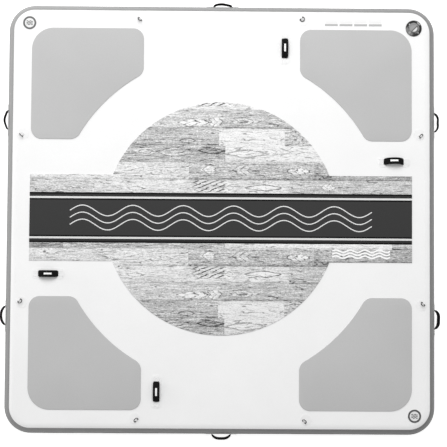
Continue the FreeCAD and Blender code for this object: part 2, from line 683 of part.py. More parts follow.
def make_cap(turn):
    """Quarter-turn cap with a grip bar in a recess, and the face seal under it."""
    body = turned("valve_cap", [
        ("sheet.cap_hollow", "0"),
        ("sheet.cap_plug", "0"),
        ("sheet.cap_plug", "sheet.cap_shoulder"),
        ("sheet.cap_neck", "sheet.cap_shoulder"),
        ("sheet.cap_neck", "sheet.cap_bottom"),
        ("sheet.cap_radius", "sheet.cap_bottom"),
        ("sheet.cap_radius", "sheet.cap_top - sheet.cap_bevel"),
        ("sheet.cap_radius - sheet.cap_bevel", "sheet.cap_top"),
        ("sheet.cap_radius - sheet.cap_rim", "sheet.cap_top"),
        ("sheet.cap_radius - sheet.cap_rim - sheet.recess_slope", "sheet.cap_recess"),
        ("0", "sheet.cap_recess"),
        ("0", "sheet.cap_shoulder"),
        ("sheet.cap_hollow", "sheet.cap_shoulder"),
    ], turn)
    bar = new_sketch(body, "grip_bar", height="sheet.cap_recess - sheet.bar_root")
    reach, side = "(sheet.cap_radius - sheet.bar_inset)", "sheet.bar_width / 2"
    polygon(bar, [(f"-{reach}", f"-{side}"), (reach, f"-{side}"), (reach, side), (f"-{reach}", side)])
    pad(body, bar, "sheet.bar_depth")
    turned("valve_cap_seal", [
        ("sheet.cap_plug + sheet.disc_gap", "sheet.cap_shoulder - sheet.cap_seal"),
        ("sheet.cap_neck - sheet.seal_inset", "sheet.cap_shoulder - sheet.cap_seal"),
        ("sheet.cap_neck - sheet.seal_inset", "sheet.cap_shoulder"),
        ("sheet.cap_plug + sheet.disc_gap", "sheet.cap_shoulder"),
    ])


# ---------------------------------------------------------------- D-rings

# Name, signs of the bar's X and Y, and whether it is near a side edge or near the front or rear edge.
# Name, side of X and of Y, the edge it stands at, and how the photograph shows it: swing from lying outwards in
# degrees, and millimetres off the regular octagon in X and Y.
RINGS = [
    ("left_rear", -1, 1, "side", 90, 5, -4),
    ("rear_left", -1, 1, "end", 128, 2, -4),
    ("rear_right", 1, 1, "end", 180, -21, 10),
    ("right_rear", 1, 1, "side", 124, -2, 6),
    ("right_front", 1, -1, "side", 134, 10, -8),
    ("front_right", 1, -1, "end", 130, 6, -6),
    ("front_left", -1, -1, "end", 136, 2, -2),
    ("left_front", -1, -1, "side", 150, 6, -2),
]


def make_rings():
    """Eight D-rings, each loose in a webbing tab on a patch. The two at a corner pull away from each other."""
    inside = "(sheet.ring_wire / 2 + sheet.tab_clearance)"
    bar_height = f"(sheet.patch + {inside} + sheet.tab_webbing)"
    patches = []
    tabs = []
    for name, sign_x, sign_y, edge, swing, shift_x, shift_y in RINGS:
        across, along = ("edge", "offset") if edge == "side" else ("offset", "edge")
        x, y = f"{sign_x} * sheet.ring_{across} + {shift_x}", f"{sign_y} * sheet.ring_{along} + {shift_y}"
        pull_x, pull_y = (sign_x, -sign_y) if edge == "side" else (-sign_x, sign_y)
        spin = Rotation(Z_AXIS, math.degrees(math.atan2(pull_y, pull_x)) - 90)

        disc = doc.addObject("Part::Cylinder", f"ring_patch_{name}")
        bind(disc, Radius="sheet.ring_patch", Height="sheet.patch")
        back = "sheet.tab_tail * cos(45 deg)"
        put(disc, f"{x} - {pull_x} * {back}", f"{y} - {pull_y} * {back}", "sheet.thickness")
        patches.append(disc)

        tab = new_body(f"ring_tab_{name}")
        section = new_sketch(tab, "section", "YZ_Plane")
        circle(section, f"{inside} + sheet.tab_webbing")
        pad(tab, section, "sheet.tab_width", midplane=True)
        tail = new_sketch(tab, "tail", "YZ_Plane")
        top, bottom = f"-{inside} + sheet.tab_webbing", f"-{inside} - sheet.tab_webbing"
        polygon(tail, [("-sheet.tab_tail", bottom), ("0", bottom), ("0", top), ("-sheet.tab_tail", top)])
        pad(tab, tail, "sheet.tab_width", midplane=True)
        bore = new_sketch(tab, "bore", "YZ_Plane")
        circle(bore, inside)
        pocket(tab, bore, midplane=True)
        put(tab, x, y, f"sheet.thickness + {bar_height}", spin)
        tabs.append(tab)

        ring = new_body(f"d_ring_{name}")
        path = new_sketch(ring, "path")
        d_shape(path)
        wire = new_sketch(ring, "wire", "YZ_Plane")
        circle(wire, "sheet.ring_wire / 2")
        sweep(ring, wire, path)
        lean = Rotation(X_AXIS, swing - number("sheet.ring_droop"))
        put(ring, x, y, f"sheet.thickness + {bar_height}", spin.multiply(lean))
    sub_parts.extend(patches)
    group("d_ring_patches", patches)
    group("d_ring_tabs", tabs)


def d_shape(sketch):
    """Closed path of a D-ring: straight bar on the X axis, two short legs and a half circle."""
    half, leg, bend = number("sheet.ring_half"), number("sheet.ring_leg"), number("sheet.ring_bend")
    quarter = math.pi / 2
    bar = sketch.addGeometry(Part.LineSegment(Vector(bend - half, 0, 0), Vector(half - bend, 0, 0)))
    first = Part.Circle(Vector(half - bend, bend, 0), Z_AXIS, bend)
    right_bend = sketch.addGeometry(Part.ArcOfCircle(first, -quarter, 0))
    right_leg = sketch.addGeometry(Part.LineSegment(Vector(half, bend, 0), Vector(half, leg, 0)))
    bow = sketch.addGeometry(Part.ArcOfCircle(Part.Circle(Vector(0, leg, 0), Z_AXIS, half), 0, math.pi))
    left_leg = sketch.addGeometry(Part.LineSegment(Vector(-half, leg, 0), Vector(-half, bend, 0)))
    second = Part.Circle(Vector(bend - half, bend, 0), Z_AXIS, bend)
    left_bend = sketch.addGeometry(Part.ArcOfCircle(second, math.pi, math.pi + quarter))
    ring = [bar, right_bend, right_leg, bow, left_leg, left_bend]
    for here, following in zip(ring, ring[1:] + ring[:1]):
        sketch.addConstraint(Sketcher.Constraint("Tangent", here, 2, following, 1))
    sketch.addConstraint(Sketcher.Constraint("Equal", right_bend, left_bend))
    sketch.addConstraint(Sketcher.Constraint("Vertical", right_leg))
    sketch.addConstraint(Sketcher.Constraint("Symmetric", bar, 1, bar, 2, -2))
    set_radius(sketch, right_bend, "sheet.ring_bend")
    set_radius(sketch, bow, "sheet.ring_half")
    fix_point(sketch, bow, 3, "0", "sheet.ring_leg")
    fix_point(sketch, bar, 1, y="0")


# ---------------------------------------------------------------- handles

def handle_pieces(name, x, y, z, rotation):
    """Webbing loop and padded sleeve of one handle; X along the grip, Z away from the surface."""
    bow = "((sheet.handle_chord ^ 2 + sheet.handle_rise ^ 2) / (2 * sheet.handle_rise))"
    span = f"asin(sheet.handle_chord / {bow}) / 1 deg"
    centre = f"sheet.handle_rise - {bow}"
    strap = new_body(f"{name}_webbing")
    section = new_sketch(strap, "section", "XZ_Plane")
    half = "sheet.handle_webbing / 2"
    sector(section, f"{bow} - {half}", f"{bow} + {half}", f"90 - {span}", f"90 + {span}", y=centre)
    pad(strap, section, "sheet.handle_webbing_width", midplane=True)
    lean_room(strap)
    put(strap, x, y, z, rotation)

    sleeve = new_body(f"{name}_grip")
    section = new_sketch(sleeve, "section", "XZ_Plane")
    half = "sheet.sleeve / 2"
    limits = "90 - sheet.sleeve_angle", "90 + sheet.sleeve_angle"
    sector(section, f"{bow} - {half}", f"{bow} + {half}", *limits, y=centre)
    pad(sleeve, section, "sheet.sleeve_width", midplane=True)
    dress(sleeve, "Fillet", "sheet.sleeve_round", lambda edge: edge.Curve.TypeId == "Part::GeomCircle")
    slot = new_sketch(sleeve, "slot", "XZ_Plane")
    half = "(sheet.handle_webbing / 2 + sheet.sleeve_play)"
    limits = "90 - sheet.sleeve_angle - 1", "90 + sheet.sleeve_angle + 1"
    sector(slot, f"{bow} - {half}", f"{bow} + {half}", *limits, y=centre)
    pocket(sleeve, slot, "sheet.handle_webbing_width + 2 * sheet.sleeve_play", midplane=True)
    lean_room(sleeve)
    put(sleeve, x, y, z, rotation)


def lean_room(body):
    """Trim the ends to a shallow V, so the handle clears its patch when it leans either way."""
    cut = new_sketch(body, "lean_room", "YZ_Plane")
    reach = "sheet.sleeve_width"
    crest = f"sheet.handle_gap + {reach} * tan(sheet.handle_lean * 1 deg)"
    polygon(cut, [(f"-{reach}", "-20"), (reach, "-20"), (reach, crest), ("0", "sheet.handle_gap"),
                  (f"-{reach}", crest)])
    pocket(body, cut, midplane=True)


def make_deck_handles():
    """Four deck handles on flat patches, a few millimetres off square, as photographed."""
    lengthwise, crosswise = Rotation(Z_AXIS, 90), Rotation()
    places = [
        ("rear", "sheet.handle_shift", "sheet.handle_far", lengthwise),
        ("right", "sheet.handle_far + 8", "sheet.handle_near", crosswise),
        ("front", "-sheet.handle_shift", "-sheet.handle_far - 7", lengthwise),
        ("left", "-sheet.handle_far", "-sheet.handle_near + 12", crosswise),
    ]
    patches = new_body("deck_handle_patches")
    shape = new_sketch(patches, "outline")
    long_half, short_half = "sheet.handle_patch_half", "sheet.handle_patch_width / 2"
    for name, x, y, rotation in places:
        handle_pieces(f"deck_handle_{name}", x, y, "sheet.thickness + sheet.patch", rotation)
        halves = (short_half, long_half) if rotation is lengthwise else (long_half, short_half)
        rounded_rectangle(shape, *halves, "30", x, y)
    pad(patches, shape, "sheet.patch")
    put(patches, z="sheet.thickness")


def make_side_handles():
    """Six handles round the side wall, on patches that follow the bulge."""
    edge = "sheet.overall_width / 2"
    stand_off = f"{edge} + sheet.glue_gap + sheet.patch"
    places = [
        ("left_rear", -1, 0, "sheet.side_handle_offset - 4"),
        ("left_front", -1, 0, "-sheet.side_handle_offset + 6"),
        ("right_rear", 1, 0, "sheet.side_handle_offset - 2"),
        ("right_front", 1, 0, "-sheet.side_handle_offset - 6"),
        ("rear", 0, 1, "5"),
        ("front", 0, -1, "11"),
    ]
    patches = []
    for name, toward_x, toward_y, offset in places:
        outward = Vector(toward_x, toward_y, 0)
        rotation = Rotation(outward.cross(Z_AXIS), Z_AXIS, outward, "ZXY")
        x = f"{toward_x} * ({stand_off})" if toward_x else offset
        y = f"{toward_y} * ({stand_off})" if toward_y else offset
        handle_pieces(f"side_handle_{name}", x, y, BULGE, rotation)
        body = new_body(f"side_patch_{name}")
        section = new_sketch(body, "section", "YZ_Plane")
        inner = f"{BULGE} + sheet.glue_gap"
        spread = "sheet.handle_patch_width / sheet.thickness * 180 / pi"
        sector(section, inner, f"{inner} + sheet.patch", f"90 - {spread}", f"90 + {spread}",
               y=f"-({inner} + sheet.patch)")
        pad(body, section, "2 * sheet.handle_patch_half", midplane=True)
        put(body, x, y, BULGE, rotation)
        patches.append(body)
    group("side_handle_patches", patches)


# ---------------------------------------------------------------- build, check and write

def check_document():
    """Stop on any object that failed or any sub-part without a valid shape."""
    doc.recompute()
    for thing in doc.Objects:
        assert not {"Invalid", "Error"} & set(thing.State), f"{thing.Name}: {thing.State}"
    for thing in sub_parts:
        assert not thing.Shape.isNull(), f"{thing.Label} has no shape"
        assert thing.Shape.isValid(), f"{thing.Label} is not valid"
        assert thing.Shape.Solids, f"{thing.Label} holds no solid"


def write_parts():
    """Write every sub-part to a STEP file named after its label."""
    os.makedirs("parts", exist_ok=True)
    for thing in sub_parts:
        thing.Shape.exportStep(f"parts/{thing.Label}.step")


make_hull()
make_corner_pads()
make_centre_pads()
make_badges()
make_valve()
make_rings()
make_deck_handles()
make_side_handles()
check_document()
write_parts()
print(len(sub_parts), "nodes", sum(len(thing.Shape.Solids) for thing in sub_parts), "solids")
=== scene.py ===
import json
import math

import bmesh
import bpy
from mathutils import Matrix, Vector


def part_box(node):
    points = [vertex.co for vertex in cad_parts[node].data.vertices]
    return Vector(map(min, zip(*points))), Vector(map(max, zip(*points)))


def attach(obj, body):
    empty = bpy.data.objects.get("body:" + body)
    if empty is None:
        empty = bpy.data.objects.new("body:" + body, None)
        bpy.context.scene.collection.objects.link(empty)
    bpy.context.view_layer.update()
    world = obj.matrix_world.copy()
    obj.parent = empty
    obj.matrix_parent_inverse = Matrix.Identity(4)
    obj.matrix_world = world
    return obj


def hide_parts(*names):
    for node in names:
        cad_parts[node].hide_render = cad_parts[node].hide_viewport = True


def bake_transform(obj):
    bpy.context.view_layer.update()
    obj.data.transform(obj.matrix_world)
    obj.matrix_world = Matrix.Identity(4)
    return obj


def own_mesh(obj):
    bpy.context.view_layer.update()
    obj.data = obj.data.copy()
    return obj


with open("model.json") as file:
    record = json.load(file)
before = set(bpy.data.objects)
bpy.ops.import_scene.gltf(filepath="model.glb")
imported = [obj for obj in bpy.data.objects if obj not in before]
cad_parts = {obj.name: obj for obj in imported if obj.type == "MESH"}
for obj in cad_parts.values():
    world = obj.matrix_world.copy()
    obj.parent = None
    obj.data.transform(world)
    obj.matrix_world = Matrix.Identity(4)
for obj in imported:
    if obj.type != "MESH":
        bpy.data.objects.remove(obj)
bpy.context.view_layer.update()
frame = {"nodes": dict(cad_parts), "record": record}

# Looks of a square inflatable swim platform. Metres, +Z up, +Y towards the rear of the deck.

UP = Vector((0, 0, 1))
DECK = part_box("top_panel")[1].z
FOAM_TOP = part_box("wood_pad_rear")[1].z
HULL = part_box("side_wall")[1].x
BULGE = DECK / 2
FLAT = HULL - BULGE
PLAN_CORNER = 0.188  # plan radius of the hull corners at mid height
FLAT_CORNER = PLAN_CORNER - BULGE
PATCH = 0.0015  # thickness of the patches on the hull
PRINT = 0.0003  # height of printed marks
VALVE = (1.369, 1.369)  # centre of the valve
BADGE = (1.373, 1.388)  # centre of a badge, before the signs of its corner
BADGE_RADIUS, BADGE_RING, BADGE_HEIGHT = 0.050, (0.034, 0.0465), 0.0012


# ------------------------ shapes: (points, faces)

def merge(shapes):
    """Several shapes as one."""
    points, faces = [], []
    for more_points, more_faces in shapes:
        shift = len(points)
        points.extend(more_points)
        faces.extend(tuple(i + shift for i in face) for face in more_faces)
    return points, faces


def placed(shape, matrix):
    """A shape moved by a matrix."""
    return [matrix @ Vector(point) for point in shape[0]], shape[1]


def mapped(shape, rule):
    """A shape with every point sent through a rule."""
    return [rule(Vector(point)) for point in shape[0]], shape[1]


def loft(rings, wrap=False):
    """Faces between closed rings of equal length, capped unless the last ring joins the first."""
    count = len(rings[0])
    points = [Vector(point) for ring in rings for point in ring]
    pairs = [(k, k + 1) for k in range(len(rings) - 1)] + ([(len(rings) - 1, 0)] if wrap else [])
    faces = []
    for low, high in pairs:
        for i in range(count):
            j = (i + 1) % count
            faces.append((low * count + i, low * count + j, high * count + j, high * count + i))
    if not wrap:
        faces.append(tuple(reversed(range(count))))
        faces.append(tuple(range((len(rings) - 1) * count, len(rings) * count)))
    return points, faces


def arc(centre, radius, start, end, steps):
    """Points of an arc in the plane; angles in degrees."""
    points = []
    for i in range(steps + 1):
        angle = math.radians(start + (end - start) * i / steps)
        points.append(Vector((centre[0] + radius * math.cos(angle), centre[1] + radius * math.sin(angle))))
    return points


def spaced(points, step):
    """A closed outline with extra points, so that no side is longer than step."""
    result = []
    for here, following in zip(points, points[1:] + points[:1]):
        parts = max(1, round((following - here).length / step))
        result.extend(here.lerp(following, i / parts) for i in range(parts))
    return result


def inset(points, distance):
    """A closed anticlockwise outline moved inwards."""
    result = []
    for before, here, after in zip(points[-1:] + points[:-1], points, points[1:] + points[:1]):
        first, second = (here - before).normalized(), (after - here).normalized()
        normal = Vector((-first.y - second.y, first.x + second.x))
        if normal.length < 1e-6:
            normal = Vector((-first.y, first.x))
        normal.normalize()
        reach = max(0.5, normal.dot(Vector((-first.y, first.x))))
        result.append(here + normal * distance / reach)
    return result


def slab(outline, bottom, top, rounding, shrink=()):
    """A flat piece with a rounded upper edge. shrink adds scaled rings inside it, down to a small cap."""
    steps = 4
    rings = [[(p.x, p.y, bottom) for p in outline]]
    for i in range(steps + 1):
        angle = math.pi / 2 * i / steps
        height = top - rounding * (1 - math.sin(angle))
        rings.append([(p.x, p.y, height) for p in inset(outline, rounding * (1 - math.cos(angle)))])
    last = [Vector(point) for point in rings[-1]]
    middle = sum(last, Vector()) / len(last)
    for share in shrink:
        rings.append([middle.lerp(point, share) for point in last])
    return loft(rings)


def round_box(half_x, half_y, corner, steps=6):
    """Anticlockwise outline of a rectangle with round corners."""
    points = []
    for turn, (sx, sy) in enumerate(((1, 1), (-1, 1), (-1, -1), (1, -1))):
        centre = sx * (half_x - corner), sy * (half_y - corner)
        points.extend(arc(centre, corner, 90 * turn, 90 * turn + 90, steps))
    return points


def heading(path, i):
    """Direction of a path at one of its points."""
    return (path[min(i + 1, len(path) - 1)] - path[max(i - 1, 0)]).normalized()


def along(path, side, section):
    """A section of (across, out) swept along a path of points; side is the constant width direction."""
    rings = []
    for i, here in enumerate(path):
        out = heading(path, i).cross(side).normalized()
        rings.append([here + side * across + out * height for across, height in section])
    return loft(rings)


def hull_line(offset):
    """Plan outline of the hull, offset outwards from the edge of its flat deck."""
    straight, turn = 40, 18
    inner = FLAT - FLAT_CORNER
    quarter = [Vector((FLAT + offset, inner * (2 * i / straight - 1))) for i in range(straight)]
    quarter += arc((inner, inner), FLAT_CORNER + offset, 0, 90, turn)[:-1]
    points = []
    for k in range(4):
        spin = Matrix.Rotation(math.pi / 2 * k, 2)
        points.extend(spin @ point for point in quarter)
    return points


def hull_strip(profile):
    """A closed profile of (radius, angle) round the bulge, swept round the hull; angles in degrees."""
    rings = []
    for radius, angle in profile:
        turned = math.radians(angle)
        height = BULGE + radius * math.sin(turned)
        rings.append([(p.x, p.y, height) for p in hull_line(radius * math.cos(turned))])
    return loft(rings, wrap=True)


def linked(name, data):
    """A new object in the scene."""
    thing = bpy.data.objects.new(name, data)
    bpy.context.scene.collection.objects.link(thing)
    return thing


def make(name, shape, material, body="platform", nodes=(), smooth=35):
    """A mesh object that rides on a body; edges sharper than smooth degrees stay sharp."""
    points, faces = shape
    mesh = bpy.data.meshes.new(name)
    mesh.from_pydata([tuple(point) for point in points], [], faces)
    work = bmesh.new()
    work.from_mesh(mesh)
    bmesh.ops.recalc_face_normals(work, faces=work.faces)
    bmesh.ops.triangulate(work, faces=[face for face in work.faces if len(face.verts) > 4])
    work.to_mesh(mesh)
    work.free()
    mesh.materials.append(material)
    mesh.shade_smooth()
    mesh.set_sharp_from_angle(angle=math.radians(smooth))
    thing = linked(name, mesh)
    if body:
        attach(thing, body)
    if nodes:
        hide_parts(*nodes)
    return thing


# ------------------------ materials

def tone(level):
    """Linear colour of a grey given as an sRGB level from 0 to 1."""
    linear = level / 12.92 if level <= 0.04045 else ((level + 0.055) / 1.055) ** 2.4
    return linear, linear, linear, 1.0


class Finish:
    """Builder of one procedural material; coordinates are the row frame's, in metres."""

    def __init__(self, name, roughness=0.5, metallic=0.0, specular=0.5):
        self.material = bpy.data.materials.new(name)
        self.material.use_nodes = True
        self.tree = self.material.node_tree
        self.shader = self.tree.nodes["Principled BSDF"]
        self.shader.inputs["Roughness"].default_value = roughness
        self.shader.inputs["Metallic"].default_value = metallic
        self.shader.inputs["Specular IOR Level"].default_value = specular
        self.place = self.tree.nodes.new("ShaderNodeTexCoord").outputs["Object"]
        split = self.node("ShaderNodeSeparateXYZ", {}, self.place)
        self.x, self.y, self.z = split.outputs

    def node(self, kind, settings, *values, **named):
        made = self.tree.nodes.new(kind)
        for key, value in settings.items():
            setattr(made, key, value)
        for socket, value in list(zip(made.inputs, values)) + [(made.inputs[k], v) for k, v in named.items()]:
            self.feed(socket, value)
        return made

    def feed(self, socket, value):
        if isinstance(value, bpy.types.NodeSocket):
            self.tree.links.new(value, socket)
        elif value is not None:
            socket.default_value = value

    def math(self, operation, *values):
        return self.node("ShaderNodeMath", {"operation": operation}, *values).outputs[0]

    def add(self, a, b):
        return self.math("ADD", a, b)

    def sub(self, a, b):
        return self.math("SUBTRACT", a, b)

    def mul(self, a, b):
        return self.math("MULTIPLY", a, b)

    def size(self, a):
        return self.math("ABSOLUTE", a)

    def above(self, value, edge):
        return self.math("GREATER_THAN", value, edge)

    def smooth(self, value, low, high, start=0.0, end=1.0):
        """Value from start to end as it goes from low to high."""
        settings = {"interpolation_type": "SMOOTHSTEP"}
        return self.node("ShaderNodeMapRange", settings, value, low, high, start, end).outputs[0]

    def near(self, value, middle, inner, outer):
        """1 within inner of the middle, falling to 0 at outer."""
        return self.smooth(self.size(self.sub(value, middle)), inner, outer, 1.0, 0.0)

    def length(self, a, b):
        """Length of a plan vector."""
        return self.math("SQRT", self.add(self.mul(a, a), self.mul(b, b)))

    def at(self, scale, place=None):
        """Stretched coordinates."""
        return self.node("ShaderNodeMapping", {}, place or self.place, Scale=scale).outputs[0]

    def noise(self, scale, detail=2.0, rough=0.5, place=None):
        named = {"Scale": scale, "Detail": detail, "Roughness": rough}
        return self.node("ShaderNodeTexNoise", {}, place or self.place, **named).outputs[0]

    def wave(self, scale, direction, distortion=0.0):
        settings = {"wave_type": "BANDS", "bands_direction": direction}
        named = {"Scale": scale, "Distortion": distortion}
        return self.node("ShaderNodeTexWave", settings, self.place, **named).outputs["Fac"]

    def threads(self, scale):
        """Crossing threads of a weave."""
        return self.mul(self.wave(scale, "X", 0.6), self.wave(scale, "Y", 0.6))

    def mix(self, factor, a, b):
        """Mix of two numbers."""
        return self.node("ShaderNodeMix", {}, factor, None, a, b).outputs[0]

    def ramp(self, value, stops):
        """Colour ramp with (position, colour) stops."""
        made = self.node("ShaderNodeValToRGB", {}, value)
        elements = made.color_ramp.elements
        for i, (place, colour) in enumerate(stops):
            stop = elements[i] if i < 2 else elements.new(place)
            stop.position, stop.color = place, colour
        return made

    def colour(self, level):
        """Use a grey level, a number from 0 to 1 in sRGB, as the base colour."""
        stops = self.ramp(level, [(i / 8, tone(i / 8)) for i in range(9)])
        self.feed(self.shader.inputs["Base Color"], stops.outputs[0])

    def rough(self, value):
        self.feed(self.shader.inputs["Roughness"], value)

    def bump(self, height, depth, strength=0.5):
        """Bump of a height from 0 to 1, depth in metres."""
        made = self.node("ShaderNodeBump", {}, Strength=strength, Distance=depth, Height=height)
        self.feed(self.shader.inputs["Normal"], made.outputs[0])
        return self.material


def fabric(name, level, weave=900, spread=0.02, roughness=0.5, depth=0.0003, specular=0.35):
    """Coated or woven cloth: crossing threads and a faint cloudy tone."""
    f = Finish(name, specular=specular)
    threads = f.threads(weave / 6.283)
    clouds = f.noise(3.0, 4.0, 0.6)
    fine = f.noise(140.0, 2.0, 0.7)
    value = f.add(level - spread, f.add(f.mul(clouds, spread), f.mul(fine, spread)))
    f.colour(value)
    f.rough(f.smooth(clouds, 0.2, 0.8, roughness - 0.08, roughness + 0.08))
    return f.bump(f.add(f.mul(threads, 0.6), f.mul(fine, 0.4)), depth)


def webbing(name, level, rib=0.0022):
    """Woven strap with ribs across X and threads along it."""
    f = Finish(name, roughness=0.75, specular=0.25)
    ribs = f.wave(1 / rib / 3.18, "X")
    lines = f.wave(1 / rib / 1.6, "Y", 0.4)
    fine = f.noise(500.0, 3.0, 0.7)
    f.colour(f.add(level - 0.03, f.mul(f.add(f.mul(ribs, lines), fine), 0.05)))
    f.rough(f.smooth(fine, 0.2, 0.8, 0.65, 0.85))
    return f.bump(f.add(f.mul(ribs, 0.5), f.mul(lines, 0.5)), 0.0005, 0.8)


def foam(name, level):
    """EVA foam: tiny cells, a light brushed lay and soft patches."""
    f = Finish(name, specular=0.2)
    cells = f.node("ShaderNodeTexVoronoi", {}, f.place, Scale=420.0).outputs["Distance"]
    brushed = f.noise(1.0, 3.0, 0.6, f.at((500, 90, 90)))
    speckle = f.noise(160.0, 2.0, 0.8)
    clouds = f.noise(2.5, 3.0)
    parts = f.add(f.mul(speckle, 0.05), f.add(f.mul(brushed, 0.03), f.mul(clouds, 0.03)))
    f.colour(f.add(level - 0.055, parts))
    f.rough(f.smooth(clouds, 0.3, 0.7, 0.78, 0.9))
    return f.bump(f.add(f.mul(cells, 0.6), f.mul(brushed, 0.4)), 0.0004)


def plastic(name, level, roughness):
    """Moulded plastic with a fine grain and faint wear."""
    f = Finish(name)
    fine = f.noise(700.0, 2.0, 0.6)
    marks = f.smooth(f.noise(60.0, 6.0, 0.8), 0.6, 0.75)
    f.colour(f.add(level, f.add(f.mul(fine, 0.02), f.mul(marks, 0.05))))
    f.rough(f.add(f.mul(marks, 0.15), f.smooth(fine, 0.2, 0.8, roughness - 0.05, roughness + 0.05)))
    return f.bump(fine, 0.00015, 0.4)


def metal(name, level, roughness):
    """Metal wire with fine draw marks."""
    f = Finish(name, metallic=1.0)
    drawn = f.noise(1.0, 3.0, 0.6, f.at((900, 900, 250)))
    stain = f.noise(35.0, 4.0, 0.7)
    f.colour(f.add(level - 0.06, f.mul(stain, 0.1)))
    f.rough(f.smooth(drawn, 0.3, 0.7, roughness - 0.06, roughness + 0.08))
    return f.bump(drawn, 0.0001, 0.3)


# Planks of the wood print: rows run along X and repeat in five kinds. For each kind: the butt joints along X,
# and the tone of the plank left of, between and right of them.
ROW_TOP = 0.8845
ROW_PITCH = 0.1225
ROW_KINDS = [
    ((-0.900, 0.483, 1.49), (0.81, 0.875, 0.80, 0.80)),
    ((-0.258, 1.49, 1.49), (0.83, 0.79, 0.79, 0.79)),
    ((-0.017, 0.450, 1.49), (0.77, 0.92, 0.81, 0.81)),
    ((-1.115, 0.028, 1.214), (0.63, 0.73, 0.93, 0.76)),
    ((-0.230, 0.660, 1.49), (0.86, 0.77, 0.71, 0.71)),
]
REACH = 1.5


def kind_table(f, share, values):
    """A value per row kind, from 0 to 1."""
    stops = f.ramp(share, [(i / len(values), (*value, 1.0)) for i, value in enumerate(values)])
    stops.color_ramp.interpolation = "CONSTANT"
    return f.node("ShaderNodeSeparateColor", {}, stops.outputs[0]).outputs


# Marks in the grain: kind of row, middle along X, middle across the row from its rear edge, half length in
# metres, half width as a share of the row, darkness of the lines, lightness of the inside, lines inside, and
# whether the lines close round the middle (0) or point right (1) or left (-1).
MARKS = [
    (0, 0.300, 0.44, 0.130, 0.17, 0.42, 0.10, 1.0, 0),
    (0, 0.060, 0.45, 0.045, 0.26, 0.26, 0.10, 2.0, 0),
    (0, 0.760, 0.40, 0.050, 0.20, 0.30, 0.20, 2.0, -1),
    (0, -0.600, 0.50, 0.110, 0.22, 0.30, 0.08, 2.0, 0),
    (1, -0.195, 0.66, 0.110, 0.22, 0.50, 0.20, 2.0, 1),
    (1, -0.050, 0.62, 0.060, 0.28, 0.40, 0.16, 2.0, 1),
    (1, 0.160, 0.60, 0.110, 0.20, 0.34, 0.08, 3.0, 1),
    (1, 0.420, 0.64, 0.090, 0.16, 0.26, 0.06, 3.0, 1),
    (2, -0.440, 0.74, 0.090, 0.20, 0.26, 0.03, 2.0, 0),
    (2, -0.240, 0.72, 0.060, 0.14, 0.36, 0.00, 1.0, 0),
    (2, 0.560, 0.55, 0.110, 0.40, 0.30, 0.00, 3.0, 1),
    (3, -0.540, 0.36, 0.085, 0.24, 0.34, 0.12, 2.0, 0),
    (3, -0.330, 0.38, 0.130, 0.26, 0.34, 0.08, 3.0, 0),
    (3, -0.070, 0.30, 0.095, 0.15, 0.55, -0.04, 1.0, 0),
    (3, 0.180, 0.46, 0.150, 0.22, 0.30, 0.00, 1.0, 0),
    (3, 0.450, 0.36, 0.130, 0.20, 0.28, 0.00, 2.0, 1),
    (4, -0.090, 0.40, 0.060, 0.24, 0.30, 0.18, 1.0, -1),
    (4, 0.160, 0.42, 0.080, 0.26, 0.36, 0.06, 2.0, -1),
    (4, 0.545, 0.46, 0.080, 0.22, 0.50, 0.22, 2.0, -1),
    (4, -0.390, 0.55, 0.060, 0.26, 0.20, 0.04, 2.0, 0),
]
# Dark spots: X, Y and radius in metres.
SPOTS = [(-1.246, -0.243, 0.012), (-0.841, -0.229, 0.008), (0.680, -0.321, 0.008), (0.493, -0.442, 0.009),
         (0.800, -0.470, 0.008), (-0.720, -0.345, 0.009), (-0.215, -0.335, 0.007), (0.700, 0.286, 0.008),
         (-0.780, -0.280, 0.005)]


